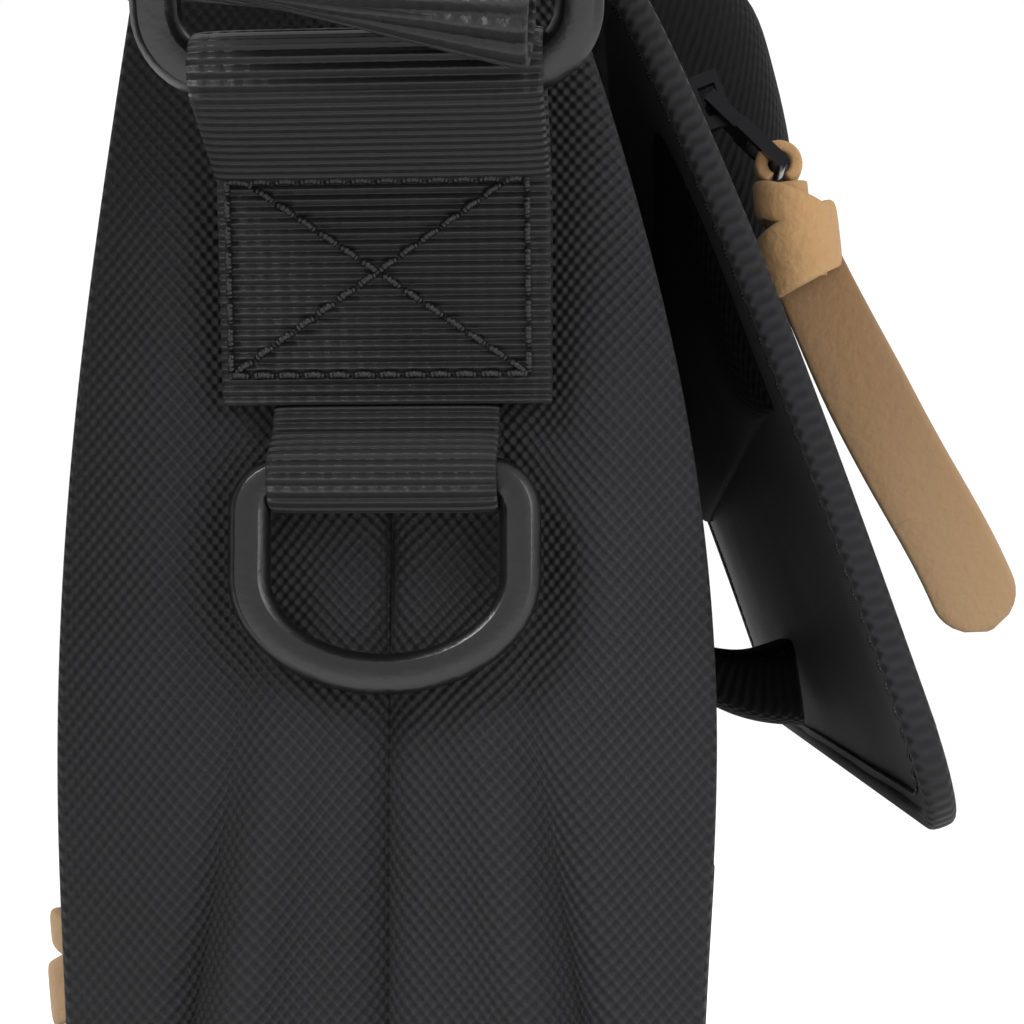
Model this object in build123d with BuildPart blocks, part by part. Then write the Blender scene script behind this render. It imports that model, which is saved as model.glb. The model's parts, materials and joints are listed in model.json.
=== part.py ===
"""A flap-over messenger bag with side rings, zipped pockets and a shoulder strap.

Millimetres. +Z is up, the front is at -Y, and the origin is the middle of the underside.
"Left" is the -X end. The webbing of the left end and that of the right end are mirror twins.
"""

from build123d import *

from math import cos, hypot, radians, sin
import os

os.makedirs("parts", exist_ok=True)

# ---------------------------------------------------------------- body sizes
BAG_WIDTH = 305.0
BAG_HEIGHT = 228.0
FOOT_HEIGHT = 50.0
LOW_HEIGHT = 109.0
SHOULDER_HEIGHT = 180.0
FRONT_BASE = 31.0  # distance of the front wall from the middle, at the underside
FRONT_FOOT = 33.2
FRONT_LOW = 35.4  # the same below the belly
FRONT_BELLY = 37.0  # the same where the front is fullest
FRONT_SHOULDER = 33.5
FRONT_TOP = 21.0  # the same at the mouth
FRONT_BELLY_HEIGHT = 142.0
BACK_BASE = 32.0
BACK_FOOT = 34.5
BACK_LOW = 36.8
BACK_BELLY = 38.0
BACK_SHOULDER = 36.5
BACK_TOP = 30.5
BACK_BELLY_HEIGHT = 131.0
PANEL = 2.0  # padded fabric
LINING = 0.8
BOARD = 2.5
BINDING_HEIGHT = 3.0
BINDING_PROUD = 0.5
GAP = 0.3  # between faces that move past each other

# ---------------------------------------------------------------- inside
SLEEVE = 5.0  # padded tablet sleeve
SLEEVE_FRONT = 14.0
SLEEVE_TOP = 190.0
ORGANISER_DEPTH = 10.0
ORGANISER_WALL = 1.2
ORGANISER_TOP = 150.0

# ---------------------------------------------------------------- flap
FLAP_WIDTH = 298.0
FLAP_DROP = 110.0  # length of the part that hangs in front
FLAP = 3.0  # whole thickness
FLAP_SHELL = 1.6
FLAP_SLOPE = 21.0  # degrees from upright
FLAP_FRONT_AXIS = 25.7  # how far in front of the middle the front fold is
FLAP_BACK_AXIS = 34.5
FLAP_CORNER = 16.0
FLAP_BINDING = 3.0
FLAP_BINDING_THICK = 3.6
FOLD_GAP = 1.7
SEAM_TAPE = 2.5
SEAM_TAPE_DROP = 9.0
POCKET_WIDTH = 260.0
POCKET_PROUD = 19.5  # how far the pocket's face stands in front of the front fold
TAB_WIDTH = 50.0  # hook-and-loop closure
TAB_LOW_DROP = 86.0  # below the mouth
TAB_HIGH_DROP = 76.5
PATCH = 1.2
SLIP_POCKET = 1.6
SLIP_POCKET_LOW = 20.0
SLIP_POCKET_HIGH = 125.0

# ---------------------------------------------------------------- zips
ZIP_TAPE_WIDTH = 13.0
ZIP_TAPE = 0.5
COIL_WIDTH = 3.0
COIL = 0.9
FLAP_ZIP_INSET = 10.5  # the zip's line, in from the flap's left edge
FLAP_ZIP_START = 12.0  # down from the front fold
FLAP_ZIP_END = 98.0
REAR_ZIP_HALF = 142.0
REAR_ZIP_HEIGHT = 131.0
REAR_SLIDER_IN = 22.0  # from the zip's end to the slider
SLIDER_LENGTH = 10.0
SLIDER_WIDTH = 7.0
SLIDER_PLATE = 1.0
BRIDGE_LENGTH = 7.0
BRIDGE_RISE = 3.0  # from the slider's plate to the middle of the bridge bar
BRIDGE_BAR = 0.8  # radius
PULLER_LENGTH = 11.5  # from its pivot to its end bar
PULLER_WIDTH = 8.0
PULLER = 1.6
PULLER_SLOT = 4.6
END_BAR = 0.9  # radius
LEATHER = 1.8
LEATHER_WIDTH = 9.4
TAIL_LENGTH = 51.0
TAIL_LEAN = 29.0  # degrees out from straight down
LOOP_WIDTH = 3.6
KNOT = (9.0, 9.5, 12.0)  # along the bag, outwards, upright
KNOT_DROP = 9.5  # the knot's middle below the puller's end bar
KNOT_TURN = -18  # degrees
KNOT_OUT = 1.8
TAIL_DROP = 13.5
TAIL_OUT = 2.2
ROD = 0.6  # radius of the flap puller's pivot
EYE = 4.8  # from the flap puller's pivot to its plate

# ---------------------------------------------------------------- webbing and rings
WEB_WIDTH = 38.0
WEB = 1.6
TAB_END_DROP = 48.5  # from the mouth down to the anchor tab's lower end
TAB_BEND_DROP = 22.0
TAB_LIFT = 4.3  # extra thickness at the bend
RING_BAR = 2.6  # radius
RING_BAR_DROP = 14.0
RING_BAR_OUT = 18.5  # from the end wall to the lower bar
RING_RISE = 19.0
RING_SPREAD = 6.0
RING_WIDTH = 51.0
RING_SIDE = 5.3
RING_THICK = 4.5
RING_CORNER = 9.5
RING_PLAY = 1.3  # slack of the strap's end loop about the upper bar
D_WIDTH = 35.5
D_WALL = 4.6
D_THICK = 3.6
D_BAR = 2.3  # radius
D_STRAIGHT = 13.5
D_ROUND = 13.4
D_CORNER = 5.0
D_BAR_DROP = 56.7
D_LOOP_WIDTH = 26.0
D_LOOP_TOP_DROP = 48.8
D_WEB = 1.5

# ---------------------------------------------------------------- strap
LEG_FACE = 21.5  # from the end wall to the middle of a strap leg
ADJUSTER_LENGTH = 26.0
ADJUSTER_RAIL = 4.0
ADJUSTER_BAR = 2.0
PAD_LENGTH = 150.0
PAD_WIDTH = 58.0
PAD = 7.0
KEEPER_WIDTH = 22.0
KEEPER = 1.2
RUN_LIFT = 1.9  # the strap's underside above the ground where it runs behind the bag

END_WALL = BAG_WIDTH / 2
FLAP_AXIS_HEIGHT = BAG_HEIGHT + BINDING_HEIGHT + GAP + FLAP / 2
TAB_LOW = BAG_HEIGHT - TAB_LOW_DROP
TAB_HIGH = BAG_HEIGHT - TAB_HIGH_DROP
SIDES = {"left": -1, "right": 1}

FRONT_OUTLINE = [
    (-FRONT_BASE, 0),
    (-FRONT_FOOT, FOOT_HEIGHT),
    (-FRONT_LOW, LOW_HEIGHT),
    (-FRONT_BELLY, FRONT_BELLY_HEIGHT),
    (-FRONT_SHOULDER, SHOULDER_HEIGHT),
    (-FRONT_TOP, BAG_HEIGHT),
]
BACK_OUTLINE = [
    (BACK_BASE, 0),
    (BACK_FOOT, FOOT_HEIGHT),
    (BACK_LOW, LOW_HEIGHT),
    (BACK_BELLY, BACK_BELLY_HEIGHT),
    (BACK_SHOULDER, SHOULDER_HEIGHT),
    (BACK_TOP, BAG_HEIGHT),
]


def save(piece, name):
    """Label a finished piece and write it."""
    piece.label = name
    export_step(piece, f"parts/{name}.step")


def draw_between(first, first_shift, second, second_shift, low, high):
    """Draw the area between two side outlines, each moved along Y, from one height to another."""
    near = Edge.make_spline([Vector(y + first_shift, z) for y, z in first])
    far = Edge.make_spline([Vector(y + second_shift, z) for y, z in second])
    bottom = Edge.make_line(near @ 0, far @ 0)
    top = Edge.make_line(near @ 1, far @ 1)
    make_face([near, top, far, bottom])
    with Locations((0, (low + high) / 2)):
        Rectangle(4 * BAG_HEIGHT, high - low, mode=Mode.INTERSECT)


def draw_points(points):
    """Draw a closed shape with straight sides."""
    make_face(Wire.make_polygon([Vector(*point) for point in points]))


# ================================================================ body shell
with BuildPart() as front_panel:
    with BuildSketch(Plane.YZ):
        draw_between(FRONT_OUTLINE, 0, FRONT_OUTLINE, PANEL, 0, BAG_HEIGHT)
    extrude(amount=END_WALL - PANEL, both=True)
save(front_panel.part, "front_panel")

with BuildPart() as back_panel:
    with BuildSketch(Plane.YZ):
        draw_between(BACK_OUTLINE, -PANEL, BACK_OUTLINE, 0, 0, BAG_HEIGHT)
    extrude(amount=END_WALL - PANEL, both=True)
save(back_panel.part, "back_panel")

with BuildPart() as base_panel:
    with BuildSketch(Plane.YZ):
        draw_between(FRONT_OUTLINE, PANEL, BACK_OUTLINE, -PANEL, 0, PANEL)
    extrude(amount=END_WALL - PANEL, both=True)
save(base_panel.part, "base_panel")

with BuildPart() as base_board:
    with BuildSketch(Plane.YZ):
        draw_between(FRONT_OUTLINE, PANEL + 1, BACK_OUTLINE, -PANEL - 1, PANEL, PANEL + BOARD)
    extrude(amount=END_WALL - PANEL - 1, both=True)
save(base_board.part, "base_board")

# Each end is two halves, sewn together along the upright middle seam.
for side, way in SIDES.items():
    for half, middle in (("front", -BAG_HEIGHT), ("rear", BAG_HEIGHT)):
        with BuildPart() as gusset:
            with BuildSketch(Plane.YZ.offset(way * (END_WALL - PANEL / 2))):
                draw_between(FRONT_OUTLINE, 0, BACK_OUTLINE, 0, 0, BAG_HEIGHT)
                with Locations((middle, BAG_HEIGHT / 2)):
                    Rectangle(2 * BAG_HEIGHT, 2 * BAG_HEIGHT, mode=Mode.INTERSECT)
            extrude(amount=PANEL / 2, both=True)
        save(gusset.part, f"gusset_{side}_{half}")

WALL = PANEL + LINING
LINING_FLOOR = PANEL + BOARD + LINING
with BuildPart() as lining:
    with BuildSketch(Plane.YZ):
        draw_between(FRONT_OUTLINE, PANEL, BACK_OUTLINE, -PANEL, PANEL + BOARD, BAG_HEIGHT)
    extrude(amount=END_WALL - PANEL, both=True)
    with BuildSketch(Plane.YZ):
        draw_between(FRONT_OUTLINE, WALL, BACK_OUTLINE, -WALL, LINING_FLOOR, BAG_HEIGHT)
    extrude(amount=END_WALL - WALL, both=True, mode=Mode.SUBTRACT)
save(lining.part, "lining")

# The mouth is bound in four straight lengths of tape, butted at its corners.
BINDING_WIDTH = WALL + BINDING_PROUD
MOUTH_MIDDLE = (BACK_TOP - FRONT_TOP) / 2
MOUTH_DEPTH = BACK_TOP + FRONT_TOP
for end, binding_y in (
    ("front", BINDING_WIDTH / 2 - FRONT_TOP - BINDING_PROUD),
    ("back", BACK_TOP + BINDING_PROUD - BINDING_WIDTH / 2),
):
    with BuildPart() as long_binding:
        with BuildSketch(Plane.XY.offset(BAG_HEIGHT)):
            with Locations((0, binding_y)):
                Rectangle(BAG_WIDTH + 2 * BINDING_PROUD, BINDING_WIDTH)
        extrude(amount=BINDING_HEIGHT)
    save(long_binding.part, f"mouth_binding_{end}")
for side, way in (("left", -1), ("right", 1)):
    with BuildPart() as short_binding:
        with BuildSketch(Plane.XY.offset(BAG_HEIGHT)):
            with Locations((way * (BAG_WIDTH / 2 + BINDING_PROUD - BINDING_WIDTH / 2), MOUTH_MIDDLE)):
                Rectangle(BINDING_WIDTH, MOUTH_DEPTH - 2 * WALL)
        extrude(amount=BINDING_HEIGHT)
    save(short_binding.part, f"mouth_binding_{side}")

# ================================================================ inside
with BuildPart() as tablet_sleeve:
    with BuildSketch(Plane.YZ):
        with Locations((SLEEVE_FRONT + SLEEVE / 2, (LINING_FLOOR + SLEEVE_TOP) / 2)):
            Rectangle(SLEEVE, SLEEVE_TOP - LINING_FLOOR)
    extrude(amount=END_WALL - WALL, both=True)
save(tablet_sleeve.part, "tablet_sleeve")

# The organiser is a flat pocket on the lining's front wall, open at its top.
with BuildPart() as organiser_pocket:
    with BuildSketch(Plane.YZ):
        draw_between(FRONT_OUTLINE, WALL, FRONT_OUTLINE, WALL + ORGANISER_DEPTH,
                     LINING_FLOOR, ORGANISER_TOP)
    extrude(amount=END_WALL - WALL, both=True)
    with BuildSketch(Plane.YZ):
        draw_between(FRONT_OUTLINE, WALL, FRONT_OUTLINE, WALL + ORGANISER_DEPTH - ORGANISER_WALL,
                     LINING_FLOOR + ORGANISER_WALL, ORGANISER_TOP)
    extrude(amount=END_WALL - WALL - ORGANISER_WALL, both=True, mode=Mode.SUBTRACT)
save(organiser_pocket.part, "organiser_pocket")

# ================================================================ outside trim of the body
with BuildPart() as front_slip_pocket:
    with BuildSketch(Plane.YZ):
        draw_between(FRONT_OUTLINE, -SLIP_POCKET, FRONT_OUTLINE, 0, SLIP_POCKET_LOW, SLIP_POCKET_HIGH)
    extrude(amount=END_WALL - 25, both=True)
save(front_slip_pocket.part, "front_slip_pocket")

with BuildPart() as loop_patch:
    with BuildSketch(Plane.YZ):
        draw_between(FRONT_OUTLINE, -PATCH, FRONT_OUTLINE, 0, TAB_LOW - 8, TAB_HIGH + 14)
    extrude(amount=TAB_WIDTH / 2 + 3, both=True)
save(loop_patch.part, "loop_patch")

with BuildPart() as flap_seam_tape:
    with BuildSketch(Plane.YZ):
        draw_between(BACK_OUTLINE, 0, BACK_OUTLINE, SEAM_TAPE, BAG_HEIGHT - SEAM_TAPE_DROP, BAG_HEIGHT)
        with Locations((BACK_TOP + (BINDING_PROUD + SEAM_TAPE) / 2, BAG_HEIGHT + BINDING_HEIGHT / 2)):
            Rectangle(SEAM_TAPE - BINDING_PROUD, BINDING_HEIGHT)
    extrude(amount=FLAP_WIDTH / 2 - 4, both=True)
save(flap_seam_tape.part, "flap_seam_tape")

with BuildPart() as rear_zip_tape:
    with BuildSketch(Plane.YZ):
        draw_between(BACK_OUTLINE, 0, BACK_OUTLINE, ZIP_TAPE,
                     REAR_ZIP_HEIGHT - ZIP_TAPE_WIDTH / 2, REAR_ZIP_HEIGHT + ZIP_TAPE_WIDTH / 2)
    extrude(amount=REAR_ZIP_HALF, both=True)
save(rear_zip_tape.part, "rear_zip_tape")

with BuildPart() as rear_zip_coil:
    with BuildSketch(Plane.YZ):
        draw_between(BACK_OUTLINE, ZIP_TAPE, BACK_OUTLINE, ZIP_TAPE + COIL,
                     REAR_ZIP_HEIGHT - COIL_WIDTH / 2, REAR_ZIP_HEIGHT + COIL_WIDTH / 2)
    extrude(amount=REAR_ZIP_HALF, both=True)
save(rear_zip_coil.part, "rear_zip_coil")

# ================================================================ side webbing and rings
TAB_END = BAG_HEIGHT - TAB_END_DROP
TAB_BEND = BAG_HEIGHT - TAB_BEND_DROP
LOWER_BAR_X = END_WALL + RING_BAR_OUT
LOWER_BAR_Z = BAG_HEIGHT - RING_BAR_DROP
UPPER_BAR_X = LOWER_BAR_X + RING_SPREAD
UPPER_BAR_Z = LOWER_BAR_Z + RING_RISE
BAR_SPACING = hypot(RING_RISE, RING_SPREAD)
D_BAR_X = END_WALL + D_BAR + GAP + D_WEB + 0.1
D_BAR_Z = BAG_HEIGHT - D_BAR_DROP

for side, way in SIDES.items():
    # Two layers of webbing, sewn flat to the end and folded round the ring's lower bar.
    with BuildPart() as anchor_tab:
        with BuildSketch(Plane.XZ):
            draw_points([
                (way * END_WALL, TAB_END),
                (way * END_WALL, TAB_BEND),
                (way * (END_WALL + 2 * WEB + TAB_LIFT), TAB_BEND),
                (way * (END_WALL + 2 * WEB), TAB_END),
            ])
            with BuildSketch(mode=Mode.ADD):
                with Locations((way * LOWER_BAR_X, LOWER_BAR_Z)):
                    Circle(RING_BAR + GAP + WEB)
                with Locations((way * (END_WALL + WEB + TAB_LIFT / 2), TAB_BEND - 2)):
                    Rectangle(2 * WEB + TAB_LIFT, 4)
                make_hull()
            with Locations((way * LOWER_BAR_X, LOWER_BAR_Z)):
                Circle(RING_BAR + GAP, mode=Mode.SUBTRACT)
        extrude(amount=WEB_WIDTH / 2, both=True)
    save(anchor_tab.part, f"anchor_tab_{side}")

    # A rectangular ring: round bars above and below, flat sides.
    ring_up = (way * RING_SPREAD / BAR_SPACING, 0, RING_RISE / BAR_SPACING)
    ring_plane = Plane(
        origin=(way * (LOWER_BAR_X + UPPER_BAR_X) / 2, 0, (LOWER_BAR_Z + UPPER_BAR_Z) / 2),
        x_dir=(0, 1, 0),
        z_dir=(RING_RISE / BAR_SPACING, 0, -way * RING_SPREAD / BAR_SPACING),
    )
    ring_hole = RING_WIDTH - 2 * RING_SIDE
    with BuildPart() as strap_ring:
        with BuildSketch(ring_plane):
            RectangleRounded(RING_WIDTH, BAR_SPACING + 2 * RING_BAR, RING_CORNER)
            Rectangle(ring_hole, BAR_SPACING + 4 * RING_BAR, mode=Mode.SUBTRACT)
        extrude(amount=RING_THICK / 2, both=True)
        for bar_x, bar_z in ((LOWER_BAR_X, LOWER_BAR_Z), (UPPER_BAR_X, UPPER_BAR_Z)):
            with BuildSketch(Plane.XZ):
                with Locations((way * bar_x, bar_z)):
                    Circle(RING_BAR)
            extrude(amount=ring_hole / 2 + 1, both=True)
    save(strap_ring.part, f"strap_ring_{side}")

    # A narrow webbing loop under the tab holds the D-ring's straight bar.
    with BuildPart() as d_ring_loop:
        loop_radius = D_BAR + GAP + D_WEB
        loop_top = BAG_HEIGHT - D_LOOP_TOP_DROP
        with BuildSketch(Plane.XZ):
            with BuildSketch(mode=Mode.ADD):
                with Locations((way * D_BAR_X, D_BAR_Z)):
                    Circle(loop_radius)
                with Locations((way * (END_WALL + D_WEB), loop_top - 1)):
                    Rectangle(2 * D_WEB, 2)
                make_hull()
            with Locations((way * D_BAR_X, D_BAR_Z)):
                Circle(D_BAR + GAP, mode=Mode.SUBTRACT)
        extrude(amount=D_LOOP_WIDTH / 2, both=True)
    save(d_ring_loop.part, f"d_ring_loop_{side}")

    with BuildPart() as d_ring:
        d_top = D_BAR_Z + D_BAR
        inner_half = D_WIDTH / 2 - D_WALL
        with BuildSketch(Plane.YZ.offset(way * D_BAR_X)):
            with Locations((0, d_top - D_STRAIGHT / 2)):
                top_block = Rectangle(D_WIDTH, D_STRAIGHT)
            fillet(top_block.vertices().group_by(Axis.Y)[-1], D_CORNER)
            with Locations((0, d_top - D_STRAIGHT)):
                Ellipse(D_WIDTH / 2, D_ROUND)
                Ellipse(inner_half, D_ROUND - D_WALL, mode=Mode.SUBTRACT)
            with Locations((0, d_top)):
                Rectangle(2 * inner_half, 2 * D_STRAIGHT, mode=Mode.SUBTRACT)
        extrude(amount=D_THICK / 2, both=True)
        with BuildSketch(Plane.XZ):
            with Locations((way * D_BAR_X, D_BAR_Z)):
                Circle(D_BAR)
        extrude(amount=inner_half + 1, both=True)
    save(d_ring.part, f"d_ring_{side}")

# ================================================================ flap over the mouth
FLAP_LINING = FLAP - FLAP_SHELL
TOP_FRONT_EDGE = -FLAP_FRONT_AXIS + FOLD_GAP
with BuildPart() as flap_top_shell:
    with BuildSketch(Plane.YZ):
        with BuildLine():
            Polyline(
                (FLAP_BACK_AXIS, FLAP_AXIS_HEIGHT + FLAP / 2),
                (TOP_FRONT_EDGE, FLAP_AXIS_HEIGHT + FLAP / 2),
                (TOP_FRONT_EDGE, FLAP_AXIS_HEIGHT + FLAP / 2 - FLAP_SHELL),
                (FLAP_BACK_AXIS, FLAP_AXIS_HEIGHT + FLAP / 2 - FLAP_SHELL),
                close=True,
            )
        make_face()
        with Locations((FLAP_BACK_AXIS, FLAP_AXIS_HEIGHT)):
            Circle(FLAP / 2)
    extrude(amount=FLAP_WIDTH / 2, both=True)
save(flap_top_shell.part, "flap_top_shell")

with BuildPart() as flap_top_lining:
    with BuildSketch(Plane.YZ):
        draw_points([
            (FLAP_BACK_AXIS - FLAP / 2, FLAP_AXIS_HEIGHT - FLAP / 2),
            (TOP_FRONT_EDGE, FLAP_AXIS_HEIGHT - FLAP / 2),
            (TOP_FRONT_EDGE, FLAP_AXIS_HEIGHT - FLAP / 2 + FLAP_LINING),
            (FLAP_BACK_AXIS - FLAP / 2, FLAP_AXIS_HEIGHT - FLAP / 2 + FLAP_LINING),
        ])
    extrude(amount=FLAP_WIDTH / 2 - 1, both=True)
save(flap_top_lining.part, "flap_top_lining")

# ================================================================ flap in front
slope_sin = sin(radians(FLAP_SLOPE))
slope_cos = cos(radians(FLAP_SLOPE))
# On this plane x runs along the bag, y up the flap from the front fold, and z outwards.
flap_plane = Plane(
    origin=(0, -FLAP_FRONT_AXIS, FLAP_AXIS_HEIGHT),
    x_dir=(1, 0, 0),
    z_dir=(0, -slope_cos, slope_sin),
)


def draw_flap(margin):
    """Draw the hanging part of the flap on its own plane, with its rounded lower corners."""
    width = FLAP_WIDTH - 2 * margin
    height = FLAP_DROP - FOLD_GAP - margin
    with Locations((0, -FOLD_GAP - height / 2)):
        outline = Rectangle(width, height)
    fillet(outline.vertices().group_by(Axis.Y)[0], FLAP_CORNER - margin)


def flap_point(down, out):
    """The Y and Z of a point so far down the flap from its front fold and so far outwards."""
    return (
        -FLAP_FRONT_AXIS - down * slope_sin - out * slope_cos,
        FLAP_AXIS_HEIGHT - down * slope_cos + out * slope_sin,
    )


with BuildPart() as flap_front_shell:
    with BuildSketch(flap_plane.offset(FLAP / 2 - FLAP_SHELL)):
        draw_flap(FLAP_BINDING)
    extrude(amount=FLAP_SHELL)
save(flap_front_shell.part, "flap_front_shell")

with BuildPart() as flap_front_lining:
    with BuildSketch(flap_plane.offset(-FLAP / 2)):
        draw_flap(FLAP_BINDING)
    extrude(amount=FLAP_LINING)
save(flap_front_lining.part, "flap_front_lining")

with BuildPart() as flap_binding:
    with BuildSketch(flap_plane):
        draw_flap(0)
        with BuildSketch(mode=Mode.SUBTRACT):
            draw_flap(FLAP_BINDING)
    extrude(amount=FLAP_BINDING_THICK / 2, both=True)
save(flap_binding.part, "flap_binding")

# A raised pocket whose face hangs upright while the flap behind it slopes.
with BuildPart() as flap_pocket:
    with BuildSketch(Plane.YZ):
        pocket_face = -FLAP_FRONT_AXIS - POCKET_PROUD
        low_down = (POCKET_PROUD + 0.6 - FLAP / 2 * slope_cos) / slope_sin
        draw_points([
            flap_point(2, FLAP / 2),
            flap_point(0, FLAP / 2 + 6),
            (pocket_face + 5, FLAP_AXIS_HEIGHT + 5.5),
            (pocket_face + 2, FLAP_AXIS_HEIGHT - 1.5),
            (pocket_face, FLAP_AXIS_HEIGHT - 26),
            flap_point(low_down, FLAP / 2),
        ])
    extrude(amount=POCKET_WIDTH / 2, both=True)
    fillet(flap_pocket.edges().filter_by(Axis.X).group_by(Axis.Z)[-1], 3)
save(flap_pocket.part, "flap_pocket")

FLAP_ZIP_X = -FLAP_WIDTH / 2 + FLAP_ZIP_INSET
with BuildPart() as flap_zip_tape:
    with BuildSketch(flap_plane.offset(FLAP / 2)):
        with Locations((FLAP_ZIP_X, -(FLAP_ZIP_START + FLAP_ZIP_END) / 2)):
            Rectangle(ZIP_TAPE_WIDTH, FLAP_ZIP_END - FLAP_ZIP_START)
    extrude(amount=ZIP_TAPE)
save(flap_zip_tape.part, "flap_zip_tape")

with BuildPart() as flap_zip_coil:
    with BuildSketch(flap_plane.offset(FLAP / 2 + ZIP_TAPE)):
        with Locations((FLAP_ZIP_X, -(FLAP_ZIP_START + FLAP_ZIP_END) / 2)):
            Rectangle(COIL_WIDTH, FLAP_ZIP_END - FLAP_ZIP_START)
    extrude(amount=COIL)
save(flap_zip_coil.part, "flap_zip_coil")


def front_face_at(height):
    """The Y of the front wall's outer face at a height, read from its outline."""
    outline = Edge.make_spline([Vector(0, y, z) for y, z in FRONT_OUTLINE])
    low, high = 0.0, 1.0
    for _ in range(40):
        middle = (low + high) / 2
        low, high = (middle, high) if (outline @ middle).Z < height else (low, middle)
    return (outline @ low).Y


# The hook tab is sewn inside the flap and reaches back to the loop patch.
with BuildPart() as hook_tab:
    patch_face = front_face_at(TAB_LOW) - PATCH - GAP
    low_down = (FLAP_AXIS_HEIGHT - TAB_LOW) / slope_cos
    high_down = (FLAP_AXIS_HEIGHT - TAB_HIGH) / slope_cos
    with BuildSketch(Plane.YZ):
        draw_points([
            flap_point(low_down - 1, -FLAP / 2),
            flap_point(high_down - 3, -FLAP / 2),
            (patch_face, TAB_HIGH),
            (patch_face, TAB_LOW),
        ])
    extrude(amount=TAB_WIDTH / 2, both=True)
save(hook_tab.part, "hook_tab")

# ================================================================ flap zip slider and its pull
slider_down = FLAP_ZIP_START + SLIDER_LENGTH / 2 + 0.5
slider_base = FLAP / 2 + ZIP_TAPE + GAP
slider_top = FLAP / 2 + ZIP_TAPE + COIL + GAP + SLIDER_PLATE


def draw_slider_channel():
    """Draw a slider's cross-section, a plate with two walls that straddle the coil."""
    height = slider_top - slider_base
    with Locations((0, height / 2)):
        Rectangle(SLIDER_WIDTH, height)
    with Locations((0, (height - SLIDER_PLATE) / 2)):
        Rectangle(COIL_WIDTH + 2 * GAP, height - SLIDER_PLATE, mode=Mode.SUBTRACT)


# Seen along the flap: x along the bag, y outwards.
slider_y, slider_z = flap_point(slider_down, slider_base)
slider_plane = Plane(
    origin=(FLAP_ZIP_X, slider_y, slider_z),
    x_dir=(1, 0, 0),
    z_dir=(0, -slope_sin, -slope_cos),
)
# Seen from the end: the middle of the slider's outer face, for its bridge.
bridge_y, bridge_z = flap_point(slider_down, slider_top)
bridge_plane = Plane(
    origin=(FLAP_ZIP_X, bridge_y, bridge_z),
    x_dir=(0, -slope_sin, -slope_cos),
    z_dir=(1, 0, 0),
)
with BuildPart() as flap_slider:
    with BuildSketch(slider_plane):
        draw_slider_channel()
    extrude(amount=SLIDER_LENGTH / 2, both=True)
    with BuildSketch(bridge_plane):
        rise = BRIDGE_RISE + BRIDGE_BAR
        with Locations((0, -rise / 2)):
            Rectangle(BRIDGE_LENGTH, rise)
            Rectangle(BRIDGE_LENGTH - 4 * BRIDGE_BAR, rise - 4 * BRIDGE_BAR + 1.6, mode=Mode.SUBTRACT)
    extrude(amount=BRIDGE_BAR, both=True)
save(flap_slider.part, "flap_slider")

# The puller turns on a small rod under the bridge.
PIVOT_OUT = slider_top + BRIDGE_RISE / 2 + BRIDGE_BAR / 2
pivot_y, pivot_z = flap_point(slider_down, PIVOT_OUT)
puller_dir = Vector(0, -1, -1).normalized()
puller_plane = Plane(origin=(FLAP_ZIP_X, pivot_y, pivot_z), x_dir=(1, 0, 0), z_dir=(0, -1, 1))


def draw_puller_frame(eye):
    """Draw a puller's flat plate with its end slot; eye is its distance from the pivot."""
    with Locations((0, -(eye + PULLER_LENGTH) / 2)):
        Rectangle(PULLER_WIDTH, PULLER_LENGTH - eye)
    with Locations((0, -PULLER_LENGTH + PULLER_SLOT / 2)):
        Rectangle(PULLER_SLOT, PULLER_SLOT, mode=Mode.SUBTRACT)


with BuildPart() as flap_puller:
    with BuildSketch(puller_plane):
        draw_puller_frame(EYE)
        for way in (-1, 1):
            with Locations((way * 2.0, -EYE / 2)):
                Rectangle(1.6, EYE + 0.8)
    extrude(amount=PULLER / 2, both=True)
    with BuildSketch(Plane.YZ.offset(FLAP_ZIP_X)):
        with Locations((pivot_y, pivot_z)):
            Circle(ROD)
    extrude(amount=2.0, both=True)
    end_y = pivot_y + puller_dir.Y * PULLER_LENGTH
    end_z = pivot_z + puller_dir.Z * PULLER_LENGTH
    with BuildSketch(Plane.YZ.offset(FLAP_ZIP_X)):
        with Locations((end_y, end_z)):
            Circle(END_BAR)
    extrude(amount=PULLER_WIDTH / 2, both=True)
save(flap_puller.part, "flap_puller")


def draw_tail(length, width):
    """Draw a strip hanging from the origin, with a rounded end."""
    with Locations((0, -(length - width / 2) / 2)):
        Rectangle(width, length - width / 2)
    with Locations((0, -length + width / 2)):
        Circle(width / 2)


# The leather: a loop round the puller's end bar, a knot, and a tail that leans outwards.
LOOP_RADIUS = END_BAR + GAP
with BuildPart() as flap_knot:
    with BuildSketch(Plane.YZ.offset(FLAP_ZIP_X)):
        with BuildSketch(mode=Mode.ADD):
            with Locations((end_y, end_z)):
                Circle(LOOP_RADIUS + LEATHER)
            with Locations((end_y - KNOT_OUT / 2, end_z - 3.4)):
                Circle(2.2)
            make_hull()
        with Locations((end_y, end_z)):
            Circle(LOOP_RADIUS, mode=Mode.SUBTRACT)
    extrude(amount=LOOP_WIDTH / 2, both=True)
    with BuildSketch(Plane.YZ.offset(FLAP_ZIP_X)):
        with Locations((end_y - KNOT_OUT, end_z - KNOT_DROP)):
            RectangleRounded(KNOT[1], KNOT[2], 3, rotation=KNOT_TURN)
    extrude(amount=KNOT[0] / 2, both=True)
save(flap_knot.part, "flap_knot")

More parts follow.
